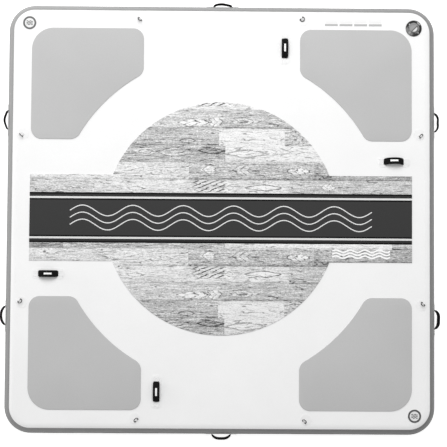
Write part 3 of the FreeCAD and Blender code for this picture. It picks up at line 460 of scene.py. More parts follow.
def wood_print():
    """Foam printed as grey weathered planks."""
    f = Finish("wood_print", specular=0.2)
    depth = f.math("DIVIDE", f.sub(ROW_TOP, f.y), ROW_PITCH)
    row = f.math("FLOOR", depth)
    across = f.sub(depth, row)
    kind_number = f.math("FLOORED_MODULO", row, 5.0)
    kind = f.math("DIVIDE", f.add(kind_number, 0.5), 5.0)
    joints = kind_table(f, kind, [[(x + REACH) / (2 * REACH) for x in kinds[0]] for kinds in ROW_KINDS])
    first = kind_table(f, kind, [kinds[1][:3] for kinds in ROW_KINDS])
    last = kind_table(f, kind, [(kinds[1][3],) * 3 for kinds in ROW_KINDS])
    x_share = f.math("DIVIDE", f.add(f.x, REACH), 2 * REACH)
    past = [f.above(x_share, joint) for joint in joints[:3]]
    base = f.mix(past[0], first[0], first[1])
    base = f.mix(past[1], base, first[2])
    base = f.mix(past[2], base, last[0])
    index = f.add(f.add(past[0], past[1]), past[2])
    seed = f.add(f.mul(kind_number, 4.0), index)
    random = f.node("ShaderNodeTexWhiteNoise", {"noise_dimensions": "1D"}, W=seed)
    jitter = f.node("ShaderNodeSeparateColor", {}, random.outputs["Color"]).outputs

    # plank coordinates: shifted by plank, so that neighbours don't share their grain
    plank_x = f.add(f.x, f.mul(jitter[0], 7.0))
    plank_y = f.add(f.mul(f.sub(across, 0.5), ROW_PITCH), f.mul(jitter[1], 3.0))
    plank = f.node("ShaderNodeCombineXYZ", {}, plank_x, plank_y, jitter[2]).outputs[0]
    bend = f.sub(f.noise(1.0, 2.0, 0.5, f.at((5, 18, 1), plank)), 0.5)
    wavy = f.node("ShaderNodeCombineXYZ", {}, plank_x, f.add(plank_y, f.mul(bend, 0.04)), 0.0).outputs[0]
    streaks = f.noise(1.0, 5.0, 0.75, f.at((9, 125, 1), wavy))
    hair = f.noise(1.0, 3.0, 0.8, f.at((42, 330, 1), wavy))
    speck = f.noise(1.0, 3.0, 0.8, f.at((85, 170, 1), plank))
    bands = f.noise(1.0, 2.0, 0.5, f.at((3, 30, 1), plank))
    rough_edge = f.noise(1.0, 3.0, 0.6, f.at((22, 60, 1), plank))

    # growth lines that wander along the plank and break off
    wander = f.noise(1.0, 3.0, 0.55, f.at((4, 14, 1), plank))
    thin = f.smooth(f.math("PINGPONG", f.add(plank_y, f.mul(wander, 0.13)), 0.010), 0.0, 0.0036, 1.0, 0.0)
    broken = f.smooth(f.noise(1.0, 2.0, 0.6, f.at((11, 38, 1), plank)), 0.46, 0.60)

    grain = f.add(f.mul(f.sub(streaks, 0.5), 0.95), f.mul(f.sub(bands, 0.5), 0.25))
    grain = f.add(grain, f.add(f.mul(f.sub(hair, 0.5), 0.75), f.mul(f.sub(speck, 0.5), 0.85)))
    grain = f.sub(grain, f.mul(f.mul(thin, broken), 0.42))
    value = f.add(base, f.mul(grain, f.smooth(base, 0.7, 0.95, 1.1, 0.75)))

    wobble = f.mul(f.sub(rough_edge, 0.5), 1.0)
    for number, x, share, long, wide, dark, light, count, pull in MARKS:
        near = f.math("COMPARE", kind_number, number, 0.1)
        dx = f.mul(f.sub(f.x, x), 1 / long)
        dy = f.size(f.mul(f.sub(across, share), 1 / wide))
        # pointed at both ends
        away = f.add(f.add(f.math("POWER", f.size(dx), 1.6), dy), wobble)
        inside = f.mul(f.smooth(away, 0.8, 1.0, 1.0, 0.0), near)
        field = f.add(f.add(f.mul(dx, 1.5 * pull), f.mul(dy, 0.8)), wobble) if pull else away
        ring = f.size(f.sub(f.math("PINGPONG", f.mul(field, count), 1.0), 1.0))
        ring = f.mul(f.smooth(ring, 0.0, 0.26, 1.0, 0.0), f.mul(near, f.smooth(away, 1.1, 1.3, 1.0, 0.0)))
        value = f.sub(f.add(value, f.mul(inside, light)), f.mul(ring, dark))

    # split strokes across the rows of the first kind
    slant = f.add(f.mul(f.x, -0.40), f.mul(across, -ROW_PITCH * 0.92))
    torn = f.noise(1.0, 2.0, 0.6, f.at((16, 60, 1), plank))
    stroke = f.math("PINGPONG", f.add(slant, f.mul(torn, 0.028)), 0.0125)
    stroke = f.smooth(stroke, 0.0, 0.0052, 1.0, 0.0)
    span = f.mul(f.near(f.x, -0.085, 0.08, 0.135), f.near(across, 0.36, 0.2, 0.42))
    span = f.mul(f.mul(span, f.smooth(torn, 0.38, 0.46)), f.math("COMPARE", kind_number, 0.0, 0.1))
    value = f.sub(value, f.mul(f.mul(stroke, span), 0.95))

    for x, y, radius in SPOTS:
        away = f.length(f.sub(f.x, x), f.mul(f.sub(f.y, y), 1.5))
        value = f.sub(value, f.smooth(away, radius * 0.5, radius * 1.2, 0.45, 0.0))

    foot = f.mul(f.smooth(across, 0.84, 0.97), f.smooth(across, 0.97, 1.0, 1.0, 0.4))
    value = f.sub(value, f.mul(foot, f.mul(jitter[2], 0.2)))
    f.colour(f.math("MAXIMUM", f.math("MINIMUM", value, 0.97), 0.16))
    f.rough(f.smooth(streaks, 0.3, 0.7, 0.82, 0.7))
    return f.bump(f.add(f.mul(streaks, 0.6), f.mul(hair, 0.4)), 0.0004, 0.6)


# Tones of the stripe, each from a distance off its middle line outwards.
STRIPE_TONES = [(0.125, 0.04), (0.136, 0.87), (0.150, 0.18), (0.167, 0.02)]


def stripe_print():
    """Charcoal foam with a white and a black line along each long edge."""
    f = Finish("stripe_print", specular=0.2)
    away = f.size(f.y)
    brushed = f.noise(1.0, 3.0, 0.6, f.at((90, 500, 90)))
    speckle = f.noise(160.0, 2.0, 0.8)
    value = 0.218
    for start, level in STRIPE_TONES:
        value = f.mix(f.above(away, start), value, level)
    value = f.add(value, f.mul(f.sub(f.add(brushed, speckle), 1.0), 0.07))
    f.colour(value)
    f.rough(f.smooth(speckle, 0.3, 0.7, 0.75, 0.9))
    return f.bump(brushed, 0.0004)


def badge_print():
    """White disc with a dark ring round the centre of each badge."""
    f = Finish("badge_print", roughness=0.35)
    radius = f.length(f.sub(f.size(f.x), BADGE[0]), f.sub(f.size(f.y), BADGE[1]))
    ring = f.mul(f.above(radius, BADGE_RING[0]), f.above(BADGE_RING[1], radius))
    fine = f.noise(500.0, 2.0)
    f.colour(f.add(f.mix(ring, 0.9, 0.3), f.mul(f.sub(fine, 0.5), 0.04)))
    f.rough(f.smooth(fine, 0.2, 0.8, 0.3, 0.42))
    return f.bump(fine, 0.0001, 0.3)


# Plain dark bars along the rear and the front wall: X from and to, and the side of the hull.
WALL_BARS = [(-1.25, -1.03, -1), (-0.823, -0.433, -1), (0.511, 0.809, -1), (0.987, 1.378, -1), (-0.775, -0.505, 1)]


def side_print():
    """Grey wall skin: woven grain, scuffs, painted light brightening it towards the rear left, painted shade from
    just above the widest line downwards, and printed bars on it.
    """
    f = Finish("grey_skin", specular=0.25)
    threads = f.threads(143.0)
    clouds = f.noise(3.0, 4.0, 0.6)
    fine = f.noise(140.0, 2.0, 0.7)
    value = f.add(0.50, f.mul(f.add(clouds, fine), 0.05))
    # painted light: the wall is brighter towards the rear (+Y) and the left (-X)
    value = f.add(value, f.sub(f.mul(f.y, 0.022), f.mul(f.x, 0.022)))
    value = f.add(value, f.smooth(f.noise(22.0, 6.0, 0.75), 0.58, 0.72, 0.0, 0.04))
    # painted shade: the wall is darker from 1 cm above its widest line downwards, fading out by 5 cm above it
    height = f.sub(f.z, BULGE)
    value = f.sub(value, f.smooth(height, 0.010, 0.050, 0.18, 0.0))
    level = f.mul(f.above(height, 0.0), f.above(0.030, height))
    for start, end, edge in WALL_BARS:
        inside = f.mul(f.mul(f.above(f.x, start), f.above(end, f.x)), f.above(f.mul(f.y, edge), HULL - 0.02))
        value = f.sub(value, f.mul(f.mul(inside, level), 0.6))
    f.colour(f.math("MAXIMUM", value, 0.04))
    f.rough(f.smooth(clouds, 0.2, 0.8, 0.46, 0.62))
    return f.bump(f.add(f.mul(threads, 0.6), f.mul(fine, 0.4)), 0.0003)


def valve_polar(f):
    """Distance from the valve axis, and distance along and across the line from the leash pin."""
    dx, dy = f.sub(f.x, VALVE[0]), f.sub(f.y, VALVE[1])
    root = math.sqrt(0.5)
    return f.length(dx, dy), f.mul(f.add(dx, dy), root), f.mul(f.sub(dx, dy), root)


def cap_print():
    """Grey moulded cap: a painted highlight on the recess floor on one side of the grip, and painted shade in dark
    lines at its edges and on one side of its rim.
    """
    f = Finish("valve_cap_plastic")
    radius, _, off_bar = valve_polar(f)
    fine = f.noise(700.0, 2.0, 0.6)
    value = f.add(0.58, f.mul(fine, 0.04))
    # painted highlight: the recess floor on one side of the grip is brightened
    painted_recess_highlight = f.mul(f.smooth(off_bar, 0.007, 0.011), f.smooth(radius, 0.022, 0.026, 1.0, 0.0))
    value = f.add(value, f.mul(painted_recess_highlight, 0.26))
    # painted shade: a dark line along the edge of the recess next to the grip
    edge = f.mul(f.near(off_bar, 0.0045, 0.0005, 0.0032), f.smooth(radius, 0.026, 0.029, 1.0, 0.0))
    value = f.sub(value, f.mul(edge, 0.34))
    # painted shade: a dark rim round the cap, darkest on the recess side
    rim = f.near(radius, 0.0295, 0.0, 0.004)
    value = f.sub(value, f.mul(rim, f.smooth(off_bar, -0.01, 0.012, 0.06, 0.34)))
    f.colour(value)
    f.rough(f.smooth(fine, 0.2, 0.8, 0.3, 0.4))
    return f.bump(fine, 0.00015, 0.4)


def flange_print():
    """Black moulded flange, with a grey painted reflection round the leash pin and a painted highlight line on the
    far side.
    """
    f = Finish("valve_dark")
    radius, along_bar, off_bar = valve_polar(f)
    fine = f.noise(700.0, 2.0, 0.6)
    marks = f.smooth(f.noise(60.0, 6.0, 0.8), 0.56, 0.72)
    value = f.add(0.045, f.add(f.mul(fine, 0.03), f.mul(marks, 0.06)))
    # painted reflection: a grey sector round the leash pin, mottled by the wear marks
    painted_reflection = f.mul(f.smooth(f.mul(along_bar, -1.0), 0.012, 0.032), f.near(off_bar, -0.008, 0.026, 0.046))
    value = f.add(value, f.mul(painted_reflection, f.add(0.42, f.mul(marks, 0.12))))
    # painted highlight: a bright line on the far side of the flange
    line = f.mul(f.near(along_bar, 0.048, 0.0015, 0.0045), f.near(off_bar, 0.0, 0.010, 0.018))
    value = f.add(value, f.mul(line, 0.75))
    shelf = f.mul(f.smooth(radius, 0.0385, 0.0425, 1.0, 0.0), f.smooth(along_bar, -0.03, -0.01, 0.2, 1.0))
    value = f.math("MAXIMUM", value, f.mul(shelf, 0.56))
    f.colour(value)
    f.rough(f.add(f.mul(marks, 0.15), f.smooth(fine, 0.2, 0.8, 0.17, 0.27)))
    return f.bump(fine, 0.00015, 0.4)


FINISH = {
    "top_skin": fabric("white_skin", 0.965, 900, 0.03, 0.5),
    "bottom_skin": fabric("underside_skin", 0.86, 900, 0.03, 0.55),
    "side_skin": side_print(),
    "side_patch": fabric("grey_patch", 0.58, 1200, 0.04, 0.5),
    "patch": fabric("white_patch", 0.955, 1200, 0.03, 0.42),
    "seam_tape": fabric("tape_skin", 0.78, 900, 0.04, 0.5),
    "yarn": fabric("yarn_bundle", 0.92, 2500, 0.06, 0.8),
    "grey_foam": foam("grey_foam", 0.752),
    "wood_foam": wood_print(),
    "stripe_foam": stripe_print(),
    "badge": badge_print(),
    "ring_webbing": webbing("tab_webbing", 0.90, 0.0018),
    "strap": webbing("strap_webbing", 0.08),
    "grip": fabric("sleeve_knit", 0.06, 2200, 0.04, 0.85, 0.0006, 0.1),
    "steel": metal("ring_steel", 0.03, 0.35),
    "spring": metal("spring_steel", 0.66, 0.3),
    "valve_dark": flange_print(),
    "valve_grey": plastic("valve_grey", 0.60, 0.35),
    "valve_rubber": plastic("valve_rubber", 0.10, 0.7),
}
cap_finish = cap_print()
ink_light = foam("ink_light", 0.90)
ink_white = foam("ink_white", 0.99)
ink_dark = plastic("ink_dark", 0.10, 0.5)
ink_grey = plastic("ink_grey", 0.70, 0.45)
ink_pale = plastic("ink_pale", 0.93, 0.45)
thread_light = fabric("thread_light", 0.88, 3000, 0.05, 0.7)
thread_dark = fabric("thread_dark", 0.20, 3000, 0.05, 0.7)

# Every CAD node but the valve cap has the finish of its slot; pieces below stand in for the soft ones.
for row in frame["record"]["subparts"]:
    node = frame["nodes"][row["node"]]
    node.data.materials.clear()
    node.data.materials.append(cap_finish if row["node"] == "valve_cap" else FINISH[row["material_slot"]])


# ------------------------ hull

def edge_profile(radius, thickness, start, end, steps):
    """Closed profile of a skin on the bulge between two angles."""
    outer = [(radius, start + (end - start) * i / steps) for i in range(steps + 1)]
    inner = [(radius - thickness, angle) for _, angle in reversed(outer)]
    return outer + inner


# The wall skin ends at the seam angle, and a weld line runs just inside each end. Angles in degrees.
WALL_RADIUS, WALL_SKIN = BULGE + 0.0008, 0.0023
SEAM_ANGLE, WELD_ANGLE, WELD_RISE, WELD_SPREAD = 62, 56.5, 0.0008, 0.9
make("side_band", hull_strip(edge_profile(WALL_RADIUS, WALL_SKIN, -SEAM_ANGLE, SEAM_ANGLE, 28)),
     FINISH["side_skin"], nodes=["side_wall"])
for label, angle in (("upper", WELD_ANGLE), ("lower", -WELD_ANGLE)):
    bead = [(WALL_RADIUS + WELD_RISE * math.cos(t), angle + WELD_SPREAD * math.sin(t))
            for t in (math.pi * i / 6 for i in range(12))]
    make(f"{label}_weld_line", hull_strip(bead), FINISH["side_skin"])


# ------------------------ foam pads and badges

def corner_outline():
    """Outline of the rear right corner pad."""
    outer, inner, sweep, tip, corner = 1.354, 0.557, 1.170, 0.155, 0.078
    low = inner + corner
    far = math.sqrt((sweep + corner) ** 2 - low ** 2)
    lean = math.degrees(math.atan2(low, far))
    points = arc((far, low), corner, 180 + lean, 270, 10)
    points += arc((outer - corner, low), corner, 270, 360, 12)
    points += arc((outer - tip, outer - tip), tip, 0, 90, 18)
    points += arc((low, outer - corner), corner, 90, 180, 12)
    points += arc((low, far), corner, 180, 270 - lean, 10)
    points += arc((0, 0), sweep, 90 - lean, lean, 40)[1:-1]
    return points


EDGE_ROUND = 0.002
corner = slab(corner_outline(), DECK, FOAM_TOP, EDGE_ROUND)
for turn, place in enumerate(("rear_right", "rear_left", "front_left", "front_right")):
    shape = placed(corner, Matrix.Rotation(math.pi / 2 * turn, 4, "Z"))
    piece = make(f"corner_foam_{place}", shape, FINISH["grey_foam"],
                 nodes=[f"corner_pad_{place}"])

DISC, HALF_LENGTH, HALF_DEPTH, STRIPE = 0.828, 1.356, 0.307, 0.178
lift = math.degrees(math.asin(HALF_DEPTH / DISC))
outline = [Vector(p) for p in ((-HALF_LENGTH, STRIPE), (HALF_LENGTH, STRIPE), (HALF_LENGTH, HALF_DEPTH))]
outline += arc((0, 0), DISC, lift, 180 - lift, 96) + [Vector((-HALF_LENGTH, HALF_DEPTH))]
half_pad = slab(outline, DECK, FOAM_TOP, EDGE_ROUND)
for turn, place in enumerate(("rear", "front")):
    shape = placed(half_pad, Matrix.Rotation(math.pi * turn, 4, "Z"))
    piece = make(f"wood_foam_{place}", shape, FINISH["wood_foam"],
                 nodes=[f"wood_pad_{place}"])
stripe_line = [Vector((x * HALF_LENGTH, y * STRIPE)) for x, y in ((-1, -1), (1, -1), (1, 1), (-1, 1))]
stripe = make("stripe_foam", slab(stripe_line, DECK, FOAM_TOP, 0.0012), FINISH["stripe_foam"],
              nodes=["stripe_pad"])


def ribbon(points, half_width, bottom, height):
    """A thin raised line through plan points, with a softly rounded top."""
    section = [(half_width * a, height * b)
               for a, b in ((-1, 0), (1, 0), (1, 0.6), (0.6, 1), (-0.6, 1), (-1, 0.6))]
    rings = []
    for i, here in enumerate(points):
        tangent = heading(points, i)
        normal = Vector((-tangent.y, tangent.x))
        rings.append([(*(here - normal * across), bottom + up) for across, up in section])
    return loft(rings)


def wave_line(start, end, middle, rise, period, steps=10):
    """Plan points of a sine wave along X."""
    count = max(8, round(abs(end - start) / period * 2 * steps))
    return [Vector((start + (end - start) * i / count,
                    middle + rise * math.sin(2 * math.pi * ((end - start) * i / count) / period)))
            for i in range(count + 1)]


# Plain waves in place of lettering. For each set: name, finish, start, end, rise, period, steps and half width of
# a line, and the middles of the lines along Y.
INLAY = 0.0004
WAVES = [("stripe_waves", ink_light, (-1.07, 1.07, 0.038, 0.3567, 14), 0.0034, (-0.05, 0.0, 0.05)),
         ("wood_waves", ink_white, (0.79, 1.20, 0.008, 0.1025, 10), 0.0055, (-0.227, -0.248, -0.269))]
for name, ink, (start, end, *form), half_width, middles in WAVES:
    lines = [ribbon(wave_line(start, end, middle, *form), half_width, FOAM_TOP, INLAY) for middle in middles]
    make(name, merge(lines), ink)

BADGES = [Vector((sx * BADGE[0], sy * BADGE[1])) for sx, sy in ((-1, 1), (1, -1))]
discs = []
for centre in BADGES:
    ring = [p + centre for p in arc((0, 0), BADGE_RADIUS, 0, 360, 48)[:-1]]
    discs.append(slab(ring, DECK, DECK + BADGE_HEIGHT, 0.0008, (0.94, 0.92, 0.6, 0.2)))
make("badge_discs", merge(discs), FINISH["badge"], nodes=["round_badges"])
BADGE_WAVE = 0.022  # half length of a wave, and its period
lines = []
for centre in BADGES:
    for shift in (-BADGE_WAVE / 2, 0.0, BADGE_WAVE / 2):
        points = wave_line(centre.x - BADGE_WAVE, centre.x + BADGE_WAVE, centre.y + shift, 0.0035, BADGE_WAVE)
        lines.append(ribbon(points, 0.0022, DECK + BADGE_HEIGHT, PRINT))
make("badge_waves", merge(lines), ink_dark)

# Four plain bars, each with a pale block behind it: first middle along X, pitch, and places along Y.
MARK_X, MARK_PITCH, BAR_Y, BLOCK_Y = 0.780, 0.1047, 1.390, 1.424


def row_of_marks(y, half_x, half_y, corner):
    """Four printed rectangles side by side."""
    return merge(slab([p + Vector((MARK_X + MARK_PITCH * i, y)) for p in round_box(half_x, half_y, corner)],
                      DECK, DECK + PRINT, 0.0002) for i in range(4))


make("deck_marks", row_of_marks(BAR_Y, 0.046, 0.008, 0.002), ink_grey)
make("deck_mark_blocks", row_of_marks(BLOCK_Y, 0.043, 0.020, 0.004), ink_pale)


# ------------------------ D-rings: patches, tabs and their stitches

JOINTS = {joint["name"]: joint for joint in frame["record"]["behaviour"]["joints"]}
RING_PATCH, PATCH_EDGE = 0.040, (0.95, 0.93, 0.91, 0.8, 0.6, 0.4, 0.1)
# Webbing looped round the bar; TAB_WAIST is its width at the bar as a share of TAB_WIDTH.
BAR_RADIUS, TAB_WIDTH, TAB_TAIL, TAB_WAIST, WEB = 0.0025, 0.024, 0.020, 0.58, 0.0012
TAB_REACH = BAR_RADIUS + 0.0003
TAB_STITCH = 0.0026, 0.0004  # pitch and radius
TAB_SEAM = [(-0.0095, -0.0085), (0.0095, -0.0085), (0.0095, -0.0175),
            (-0.0095, -0.0175), (-0.0095, -0.0085), (0.0095, -0.0175)]


def frame_of(x_axis, z_axis, origin):
    """Placement with given X and Z directions."""
    x_axis, z_axis = Vector(x_axis), Vector(z_axis)
    y_axis = z_axis.cross(x_axis)
    turn = Matrix((x_axis, y_axis, z_axis)).transposed().to_4x4()
    return Matrix.Translation(origin) @ turn


def on_deck(point):
    """A point lowered where the deck starts to round off into the side wall."""
    over = max(0.0, abs(point.x) - FLAT, abs(point.y) - FLAT)
    return point - UP * (BULGE - math.sqrt(BULGE ** 2 - over ** 2))


def stitch(start, end, radius, up):
    """One short raised stitch."""
    line = end - start
    side = up.cross(line).normalized()
    rings = []
    for share, size in ((0, 0.35), (0.15, 0.9), (0.5, 1.0), (0.85, 0.9), (1, 0.35)):
        centre = start.lerp(end, share)
        ring = [centre + (side * math.cos(a) + up * math.sin(a) * 0.8) * radius * size
                for a in (math.pi * k / 3 for k in range(6))]
        rings.append(ring)
    return loft(rings)


def seam(path, pitch, radius, up):
    """Stitches along a path of points."""
    shapes = []
    for start, end in zip(path, path[1:]):
        count = max(1, round((end - start).length / pitch))
        for i in range(count):
            a, b = start.lerp(end, (i + 0.15) / count), start.lerp(end, (i + 0.85) / count)
            shapes.append(stitch(a, b, radius, up))
    return shapes


def tab_shape():
    """Webbing folded round the ring bar and drawn in there; X along the bar, Y towards the ring."""
    gap = 0.00005
    path = [Vector((-TAB_TAIL, gap - TAB_REACH + WEB / 2)), Vector((-TAB_TAIL * 0.5, gap - TAB_REACH + WEB / 2))]
    path += arc((0, 0), TAB_REACH + WEB / 2, 150, -90, 18)
    path += [Vector((-TAB_TAIL * 0.5, -TAB_REACH - WEB / 2)), Vector((-TAB_TAIL, -TAB_REACH - WEB / 2))]
    strip = []
    for i, here in enumerate(path):
        tangent = heading(path, i)
        strip.append((here, Vector((-tangent.y, tangent.x))))
    rings = []
    for across, thin in ((-1, 0.35), (-0.96, 0.8), (-0.88, 1), (0.88, 1), (0.96, 0.8), (1, 0.35)):
        half = WEB / 2 * thin
        ring = [here + normal * half for here, normal in strip]
        ring += [here - normal * half for here, normal in reversed(strip)]
        rings.append([(across * TAB_WIDTH / 2 * (1.0 if p.x < -TAB_TAIL * 0.4 else TAB_WAIST), p.x, p.y)
                      for p in ring])
    return loft(rings)


patches, tabs, stitches = [], [], []
for name, joint in JOINTS.items():
    if not name.startswith("d_ring_"):
        continue
    bar = Vector(joint["pos_m"])
    place = frame_of(joint["axis"], UP, bar)
    middle = place @ Vector((0, -TAB_TAIL, 0))
    ring = [p + middle.xy for p in arc((0, 0), RING_PATCH, 0, 360, 56)[:-1]]
    patches.append(mapped(slab(ring, DECK, DECK + PATCH, 0.0008, PATCH_EDGE), on_deck))
    tabs.append(placed(tab_shape(), place))
    line = [Vector((x, y, WEB - TAB_REACH)) for x, y in TAB_SEAM]
    stitches.append(placed(merge(seam(line, *TAB_STITCH, UP)), place))
make("ring_patches", merge(patches), FINISH["patch"], nodes=["d_ring_patches"], smooth=50)
make("ring_tabs", merge(tabs), FINISH["ring_webbing"], nodes=["d_ring_tabs"], smooth=60)
make("ring_tab_stitches", merge(stitches), thread_light)


# ------------------------ handles

CHORD, RISE, WEB_HALF, WEB_THICK = 0.070, 0.0335, 0.019, 0.002
BOW = (CHORD ** 2 + RISE ** 2) / (2 * RISE)
LOW = RISE - BOW
SPAN = math.asin(CHORD / BOW)
SLEEVE_ANGLE, SLEEVE_HALF, SLEEVE_THICK = math.radians(45.5), 0.024, 0.014
PATCH_LONG, PATCH_SHORT, PATCH_CORNER = 0.118, 0.039, 0.030
COVER_AT, COVER_RISE = 0.0905, 0.0016  # covers over the webbing's ends: distance from the middle, height
COVER, COVER_STITCH, SLEEVE_STITCH = (0.019, 0.0225, 0.006), (0.0042, 0.0005), 0.00045
STRAP_END = Vector((CHORD + 0.0008, 0, -0.0012))
LABEL_HALF, LABEL_OUT = 0.026, 0.0072
LEAN_FULL, BLEND_END = 0.024, 0.020  # heights where a lean is complete and where the blend ends
GLUE = 0.0002
ACROSS = Vector((0, 1, 0))


# How use has bent each handle: shoulders out, crown in and first shoulder above the second, in metres, and its
# lean in degrees.
WORN = {
    "deck_handle_rear": (0.001, 0.001, 0.000, 0), "deck_handle_right": (0.001, 0.000, -0.002, -10),
    "deck_handle_front": (0.001, 0.002, 0.001, 0), "deck_handle_left": (0.001, 0.001, 0.001, 1),
    "side_handle_left_rear": (-0.003, 0.006, 0.000, 3), "side_handle_left_front": (0.001, 0.000, 0.000, -5),
    "side_handle_right_rear": (0.004, 0.0065, 0.000, 3), "side_handle_right_front": (0.004, 0.002, 0.001, -12),
    "side_handle_rear": (-0.002, 0.012, 0.002, 0), "side_handle_front": (0.003, 0.001, 0.000, -7),
}


def bow_point(bend, angle, out=0.0):
    """Point of the handle's bow at an angle from its crown; X along the grip, Z away from the deck."""
    share = math.pi * angle / SPAN
    shoulder, crown, skew = bend
    bent = shoulder * math.sin(share) ** 2 - crown * math.cos(share / 2) ** 2 - skew * math.sin(share)
    reach = BOW + out + bent
    return Vector((reach * math.sin(angle), 0, LOW + reach * math.cos(angle)))


def leaning(lean):
    """Rule that turns a point about the line through the handle's feet, less and less towards them."""
    def rule(point):
        share = min(1.0, max(0.0, point.z / LEAN_FULL))
        angle = math.radians(lean) * share * share * (3 - 2 * share)
        return Matrix.Rotation(angle, 3, "X") @ point
    return rule


def strap_shape(bend):
    """Webbing of one handle, whose feet go down through the slots of its patch."""
    path = [Vector((-STRAP_END.x, 0, STRAP_END.z))]
    path += [bow_point(bend, SPAN * (i / 20 - 1)) for i in range(1, 40)]
    path += [STRAP_END]
    half, thick = WEB_HALF, WEB_THICK / 2
    section = [(half * a, thick * b) for a, b in ((-1, 0), (-0.97, -1), (-0.5, -1), (0.5, -1), (0.97, -1),
                                                  (1, 0), (0.97, 1), (0.5, 1), (-0.5, 1), (-0.97, 1))]
    return along(path, ACROSS, section)


def sleeve_section(share):
    """Cross section of the padded sleeve: crowned outside, flatter inside, fuller in the middle."""
    end = abs(2 * share - 1)
    fullness = 1 - 0.10 * end ** 2 - 0.22 * max(0.0, end - 0.93) / 0.07
    crease = 0.025 * math.sin(share * 61) * math.sin(share * 23 + 1)
    half = SLEEVE_HALF * (1 - 0.035 * end ** 3)
    points = []
    for k in range(28):
        angle = 2 * math.pi * k / 28
        c, s = math.cos(angle), math.sin(angle)
        across = half * math.copysign(abs(c) ** 0.55, c)
        height = SLEEVE_THICK / 2 * math.copysign(abs(s) ** 0.8, s) * (fullness + crease)
        points.append((across, height))
    return points


def away_from_bow(angle):
    """Direction straight out of the bow at an angle from its crown."""
    return Vector((math.sin(angle), 0, math.cos(angle)))


def sleeve_mouth(bend, end, sign):
    """Rings that turn in at an end of the sleeve; each has its size and its depth in the sleeve."""
    rings = []
    for shrink, depth in ((0.86, 0.0002), (0.82, 0.0015), (0.80, 0.007)):
        angle = sign * (SLEEVE_ANGLE - depth / BOW)
        here, out = bow_point(bend, angle), away_from_bow(angle)
        rings.append([here + ACROSS * a * (0.5 + shrink / 2) + out * h * (shrink - 0.25)
                      for a, h in sleeve_section(end)])
    return rings


def sleeve_shape(bend):
    """Padded sleeve with an open mouth at each end."""
    steps = 44
    rings = []
    for i in range(steps + 1):
        angle = SLEEVE_ANGLE * (2 * i / steps - 1)
        here, out = bow_point(bend, angle), away_from_bow(angle)
        rings.append([here + ACROSS * a + out * h for a, h in sleeve_section(i / steps)])
    return loft(sleeve_mouth(bend, 0.0, -1)[::-1] + rings + sleeve_mouth(bend, 1.0, 1))


def sleeve_stitches(bend):
    """Two rows of stitches near the long edges of the sleeve's outer face."""
    shapes = []
    steps = 34
    for side in (-1, 1):
        for i in range(steps):
            ends = []
            for part in (0.15, 0.8):
                angle = SLEEVE_ANGLE * 0.95 * (2 * (i + part) / steps - 1)
                outline = sleeve_section((angle / SLEEVE_ANGLE + 1) / 2)
                across, height = outline[3] if side > 0 else outline[11]
                out = away_from_bow(angle)
                ends.append(bow_point(bend, angle) + ACROSS * across + out * (height + 0.0001))
            shapes.append(stitch(*ends, SLEEVE_STITCH, out))
    return merge(shapes)


def label_shape(bend):
    """Plain woven bar on the crown of the sleeve."""
    path = [bow_point(bend, LABEL_HALF / BOW * (i / 12 - 1), LABEL_OUT) for i in range(25)]
    half, flat, shoulder, top = 0.0062, 0.0056, 0.0006, 0.0009
    section = [(-half, 0), (half, 0), (half, shoulder), (flat, top), (-flat, top), (-half, shoulder)]
    return along(path, ACROSS, section)


def patch_shape():
    """Flat patch with a pressed rim and a raised cover over each end of the webbing."""
    base = slab(spaced(round_box(PATCH_LONG, PATCH_SHORT, PATCH_CORNER, 8), 0.006), 0, PATCH, 0.0009,
                (0.955, 0.94, 0.925, 0.75, 0.5, 0.25, 0.04))
    shapes = [base]
    for sign in (-1, 1):
        ring = [p + Vector((sign * COVER_AT, 0)) for p in spaced(round_box(*COVER), 0.004)]
        shapes.append(slab(ring, PATCH - 0.0002, PATCH + COVER_RISE, 0.0016, (0.85, 0.6, 0.3, 0.05)))
    return merge(shapes)


def box_stitches():
    """Crossed box of stitches on each end cover."""
    shapes = []
    for sign in (-1, 1):
        cx, hx, hy, level = sign * COVER_AT, 0.013, 0.0155, PATCH + COVER_RISE
        box = [Vector((cx + a * hx, b * hy, level)) for a, b in
               ((-1, -1), (1, -1), (1, 1), (-1, 1), (-1, -1), (1, 1), (-1, 1), (1, -1))]
        shapes += seam(box, *COVER_STITCH, UP)
    return merge(shapes)


def handle(name, place):
    """All pieces of one handle; place puts its base in the row frame."""
    *bend, lean = WORN[name]
    rule = leaning(lean)
    strap = make(f"{name}_strap", placed(mapped(strap_shape(bend), rule), place), FINISH["strap"], None,
                 [f"{name}_webbing"], 50)
    sleeve = make(f"{name}_sleeve", placed(mapped(sleeve_shape(bend), rule), place), FINISH["grip"], None,
                  [f"{name}_grip"], 60)
    sewn = make(f"{name}_sleeve_stitches", placed(mapped(sleeve_stitches(bend), rule), place), thread_dark,
                None)
    for piece in (strap, sleeve, sewn):
        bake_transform(piece)
    make(f"{name}_label", placed(mapped(label_shape(bend), rule), place), ink_white, name)


patches, sewing = [], []
for side in ("rear", "right", "front", "left"):
    joint = JOINTS[f"deck_handle_{side}_lean"]
    base = frame_of(joint["axis"], UP, Vector(joint["pos_m"]))
    flat = Matrix.Translation(UP * -PATCH) @ base
    patches.append(placed(patch_shape(), flat))
    sewing.append(placed(box_stitches(), flat))
    handle(f"deck_handle_{side}", base)
make("handle_patches", merge(patches), FINISH["patch"], nodes=["deck_handle_patches"], smooth=50)
make("handle_patch_stitches", merge(sewing), thread_light)


def round_bulge(point):
    """Bends a flat patch round the side wall: X along the wall, Y round it, Z away from it."""
    angle = point.y / BULGE
    radius = BULGE + GLUE + point.z
    return Vector((point.x, radius * math.sin(angle), radius * math.cos(angle) - BULGE))


